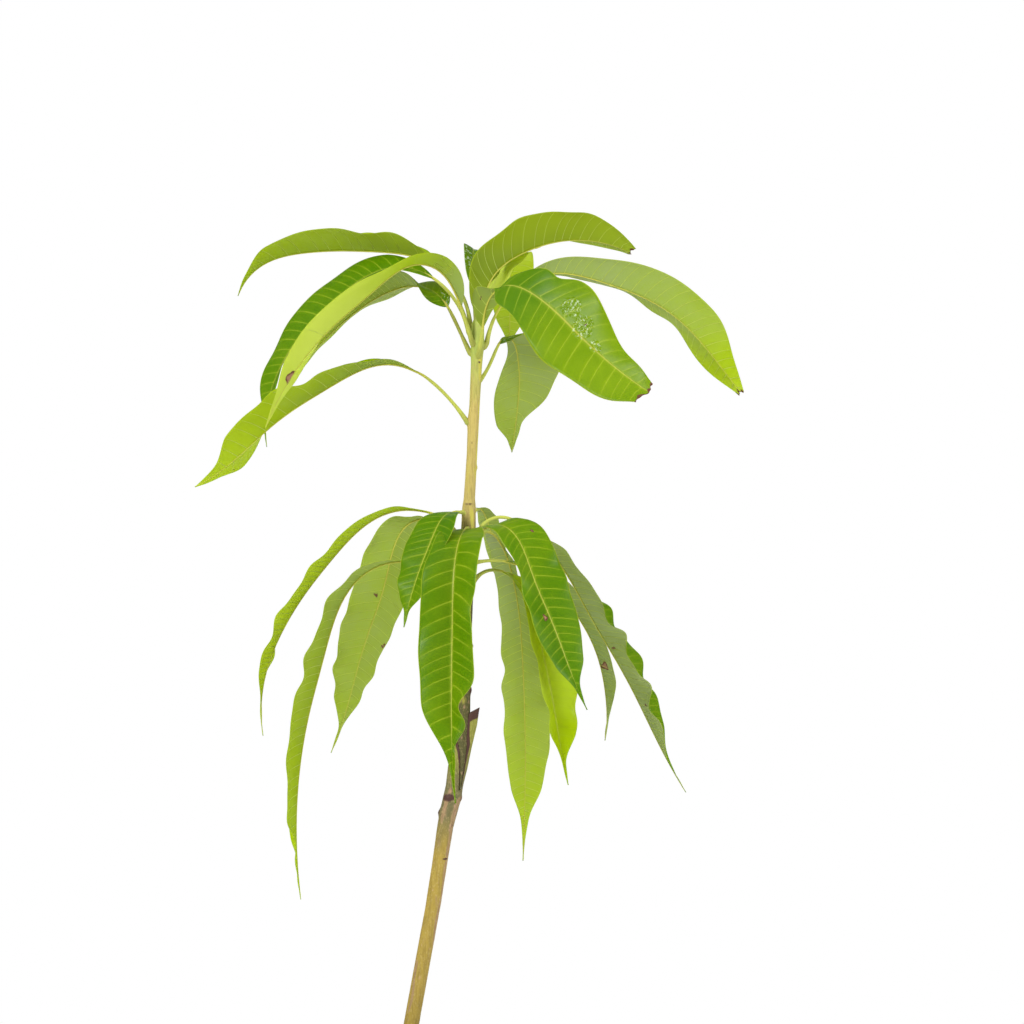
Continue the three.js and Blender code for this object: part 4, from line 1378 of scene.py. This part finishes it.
class SAPLING_OT_pot(bpy.types.Operator):
    """Makes the moulded nursery pot, with its rolled rim and drain holes"""

    bl_idname = "sapling.pot"
    bl_label = "Pot"

    def execute(self, context):
        settings = context.scene.sapling_pot
        mesh = turned_mesh("pot", self.profile(), POT_SIDES)
        low, high = DRAIN_SPAN
        section = [(0, low), (DRAIN_RADIUS, low), (DRAIN_RADIUS, high), (0, high)]
        for turn in all_round(DRAIN_HOLES):
            plug = turned_mesh("plug", section, DRAIN_SIDES)
            place = Vector((DRAIN_CIRCLE * MM * math.cos(turn), DRAIN_CIRCLE * MM * math.sin(turn), 0))
            for vertex in plug.vertices:
                vertex.co += place
            mesh = cut_mesh(mesh, plug)
        piece = piece_from("pot_moulding", mesh, self.plastic(settings), ["pot"])
        piece.data.set_sharp_from_angle(angle=math.radians(SHARP_ANGLE))
        return {"FINISHED"}

    @staticmethod
    def profile():
        """Half section of the pot, from the middle of its underside to the middle of its floor."""
        rim_foot = POT_HEIGHT - RIM_DEPTH
        rim = POT_TOP_RADIUS + RIM_OVERHANG
        wall_top = pot_radius(POT_HEIGHT) - POT_WALL
        outside = [(0, 0), (pot_radius(0) - POT_BEVEL, 0)]
        outside += arc((pot_radius(POT_BEVEL) - POT_BEVEL, POT_BEVEL), POT_BEVEL, BEVEL_START, 0)
        wall = np.linspace(WALL_FOOT, rim_foot - WALL_GAP, WALL_ROWS)
        outside += [(pot_radius(h), h) for h in wall]
        outside += [(pot_radius(rim_foot), rim_foot)]
        outside += arc((rim - RIM_EASE, rim_foot + RIM_EASE), RIM_EASE, -90, 0)
        outside += arc((rim - RIM_EASE, POT_HEIGHT - RIM_EASE), RIM_EASE, 0, 90)
        inside = arc((wall_top + RIM_EASE, POT_HEIGHT - RIM_EASE), RIM_EASE, 90, 180)
        wall = np.linspace(rim_foot, POT_FLOOR, INNER_ROWS)
        inside += [(pot_radius(h) - POT_WALL, h) for h in wall]
        return outside + inside + [(0, POT_FLOOR)]

    @staticmethod
    def plastic(settings):
        material, net = material_net("nursery pot plastic")
        rise = net.rise()
        cloud = net.noise(net.places((1, 1, 1)), 26, 4)
        scuffs = net.noise(net.places((1, 1, 0.15)), 480, 3)
        splash = net.step(cloud + 1.4 * (net.step(rise, *SPLASH_BAND) - 0.5), 0.9, 1.45)
        low = net.step(cloud + 0.9 * (1 - net.step(rise, *FOOT_BAND)) - 0.5, 0.55, 0.95)
        soiled = net.clamped(splash + low)
        colour = net.mix(net.step(scuffs, 0.58, 0.72), settings.plastic, SCUFF)
        colour = net.mix(0.5 * soiled, colour, settings.dust)
        pebble = net.bump(net.noise(net.places((1, 1, 1)), 1500, 2), 0.12, 0.1 * MM)
        roughness = 0.36 + 0.22 * cloud + 0.3 * soiled
        finish_material(net, principled(net, colour, roughness, pebble))
        return material


class SAPLING_OT_soil(bpy.types.Operator):
    """Fills the pot with potting mix and strews crumbs over it"""

    bl_idname = "sapling.soil"
    bl_label = "Potting Mix"

    def execute(self, context):
        settings = context.scene.sapling_pot
        mix = self.mix_material(settings)
        bed, top = self.bed_mesh()
        crumbs = grown_mesh(top, self.crumbs_tree(), {
            "Density": settings.crumbs, "Size": settings.crumb_size, "Seed": settings.seed,
            "Material": mix})
        piece_from("soil_bed", bed, mix, ["soil"])
        piece_from("soil_crumbs", crumbs, None, ["soil"])
        return {"FINISHED"}

    @staticmethod
    def bed_mesh():
        """The bed of potting mix, and a copy of its top alone."""
        foot = POT_FLOOR + CLEARANCE
        brink = SOIL_LEVEL - SOIL_HOLLOW
        wall = pot_radius(brink) - POT_WALL - CLEARANCE
        turns = all_round(POT_SIDES)
        points = []
        for radius in np.linspace(0, wall, SOIL_RINGS + 1)[1:]:
            level = SOIL_LEVEL - SOIL_HOLLOW * float(ramp(radius, SOIL_FLAT_RADIUS, wall))
            calm = 1 - float(ramp(radius, wall - SOIL_BRINK, wall))
            for turn in turns:
                x = radius * math.cos(turn)
                y = radius * math.sin(turn)
                lumps = noise.fractal(Vector((x / LUMP_SIZE, y / LUMP_SIZE, 3)), 0.7, 2, 5)
                points.append((x, y, level - SOIL_SINK + SOIL_ROUGHNESS * lumps * calm))
        points.append((0, 0, SOIL_LEVEL - SOIL_CENTRE_SINK))
        neighbours = [(side, (side + 1) % POT_SIDES) for side in range(POT_SIDES)]
        centre = len(points) - 1
        faces = grid_faces(SOIL_RINGS, POT_SIDES, closed=True)
        faces += [(centre, i, j) for i, j in neighbours]
        top = new_mesh("top", points, faces)
        low = pot_radius(foot) - POT_WALL - 2 * CLEARANCE
        points += [(low * math.cos(turn), low * math.sin(turn), foot) for turn in turns]
        start = centre - POT_SIDES
        base = centre + 1
        faces += [(start + i, base + i, base + j, start + j) for i, j in neighbours]
        faces.append(tuple(base + i for i in reversed(range(POT_SIDES))))
        return new_mesh("bed", points, faces), top

    @staticmethod
    def crumbs_tree():
        """Strews turned, uneven crumbs over the faces it is given."""
        tree, net, given = geometry_tree("Crumbs", {
            "Density": "NodeSocketFloat",
            "Size": "NodeSocketFloat",
            "Seed": "NodeSocketInt",
            "Material": "NodeSocketMaterial",
        })
        spots = net.node("GeometryNodeDistributePointsOnFaces", {"distribute_method": "RANDOM"}, {
            "Mesh": given["Geometry"], "Density": given["Density"], "Seed": given["Seed"]})
        crumb = net.node("GeometryNodeMeshIcoSphere", None, {"Radius": 1.0, "Subdivisions": 1})
        turn = net.node("FunctionNodeRandomValue", {"data_type": "FLOAT_VECTOR"}, {
            "Max": (FULL_TURN,) * 3, "Seed": given["Seed"]})
        least, most = CRUMB_SHAPES
        shape = net.node("FunctionNodeRandomValue", {"data_type": "FLOAT_VECTOR"}, {
            "Min": least, "Max": most, "Seed": given["Seed"]})
        least, most = CRUMB_SIZES
        size = net.node("FunctionNodeRandomValue", {"data_type": "FLOAT"}, {
            2: least, 3: most, "Seed": given["Seed"]}, 1)
        size = size * size * given["Size"]
        scale = net.node("ShaderNodeVectorMath", {"operation": "SCALE"}, {0: shape, 3: size})
        strewn = net.node("GeometryNodeInstanceOnPoints", None, {
            "Points": spots, "Instance": crumb, "Rotation": turn, "Scale": scale})
        finish_tree(net, strewn, given["Material"])
        return tree

    @staticmethod
    def mix_material(settings):
        material, net = material_net("potting mix")
        here = net.places((1, 1, 1))
        lumps = net.noise(here, 190, 5, 0.65)
        shreds = net.noise(net.places((1, 0.25, 1)), 700, 4, 0.6)
        # Darker where the lumps are low, in the hollows of the bump, and lighter where they are high.
        colour = net.mix(net.step(lumps, 0.35, 0.7), settings.wet_mix, settings.raised_mix)
        colour = net.mix(0.5 * net.step(shreds, 0.6, 0.75), colour, SHRED)
        relief = net.bump(lumps + 0.5 * shreds, 0.8, 1.2 * MM)
        mix = principled(net, colour, 0.85 + 0.12 * shreds, relief, specular=0.3)
        finish_material(net, mix)
        return material


class SAPLING_PT_panel(bpy.types.Panel):
    """Lists the sapling's settings and the steps that make it"""

    bl_label = "Mango Sapling"
    bl_idname = "SAPLING_PT_panel"
    bl_space_type = "VIEW_3D"
    bl_region_type = "UI"
    bl_category = "Sapling"

    def draw(self, context):
        for operator in OPERATORS:
            self.layout.operator(operator.bl_idname)
        for name, group in GROUPS.items():
            box = self.layout.box()
            box.label(text=name.replace("_", " "))
            settings = getattr(context.scene, name)
            for key in group.__annotations__:
                box.prop(settings, key)


GROUPS = {
    "sapling_leaf": SaplingLeafSettings,
    "sapling_stem": SaplingStemSettings,
    "sapling_pot": SaplingPotSettings,
    "sapling_studio": SaplingStudioSettings,
}
OPERATORS = (
    SAPLING_OT_stage,
    SAPLING_OT_pot,
    SAPLING_OT_soil,
    SAPLING_OT_rootstock,
    SAPLING_OT_scion,
    SAPLING_OT_leaves,
)
CLASSES = (*GROUPS.values(), *OPERATORS, SAPLING_PT_panel)


def register():
    for item in CLASSES:
        bpy.utils.register_class(item)
    for name, group in GROUPS.items():
        setattr(bpy.types.Scene, name, PointerProperty(type=group))


def unregister():
    for name in GROUPS:
        delattr(bpy.types.Scene, name)
    for item in reversed(CLASSES):
        bpy.utils.unregister_class(item)


def main():
    register()
    bpy.ops.sapling.stage()
    bpy.ops.sapling.pot()
    bpy.ops.sapling.soil()
    bpy.ops.sapling.rootstock()
    bpy.ops.sapling.scion()
    bpy.ops.sapling.leaves()


if __name__ == "__main__":
    main()
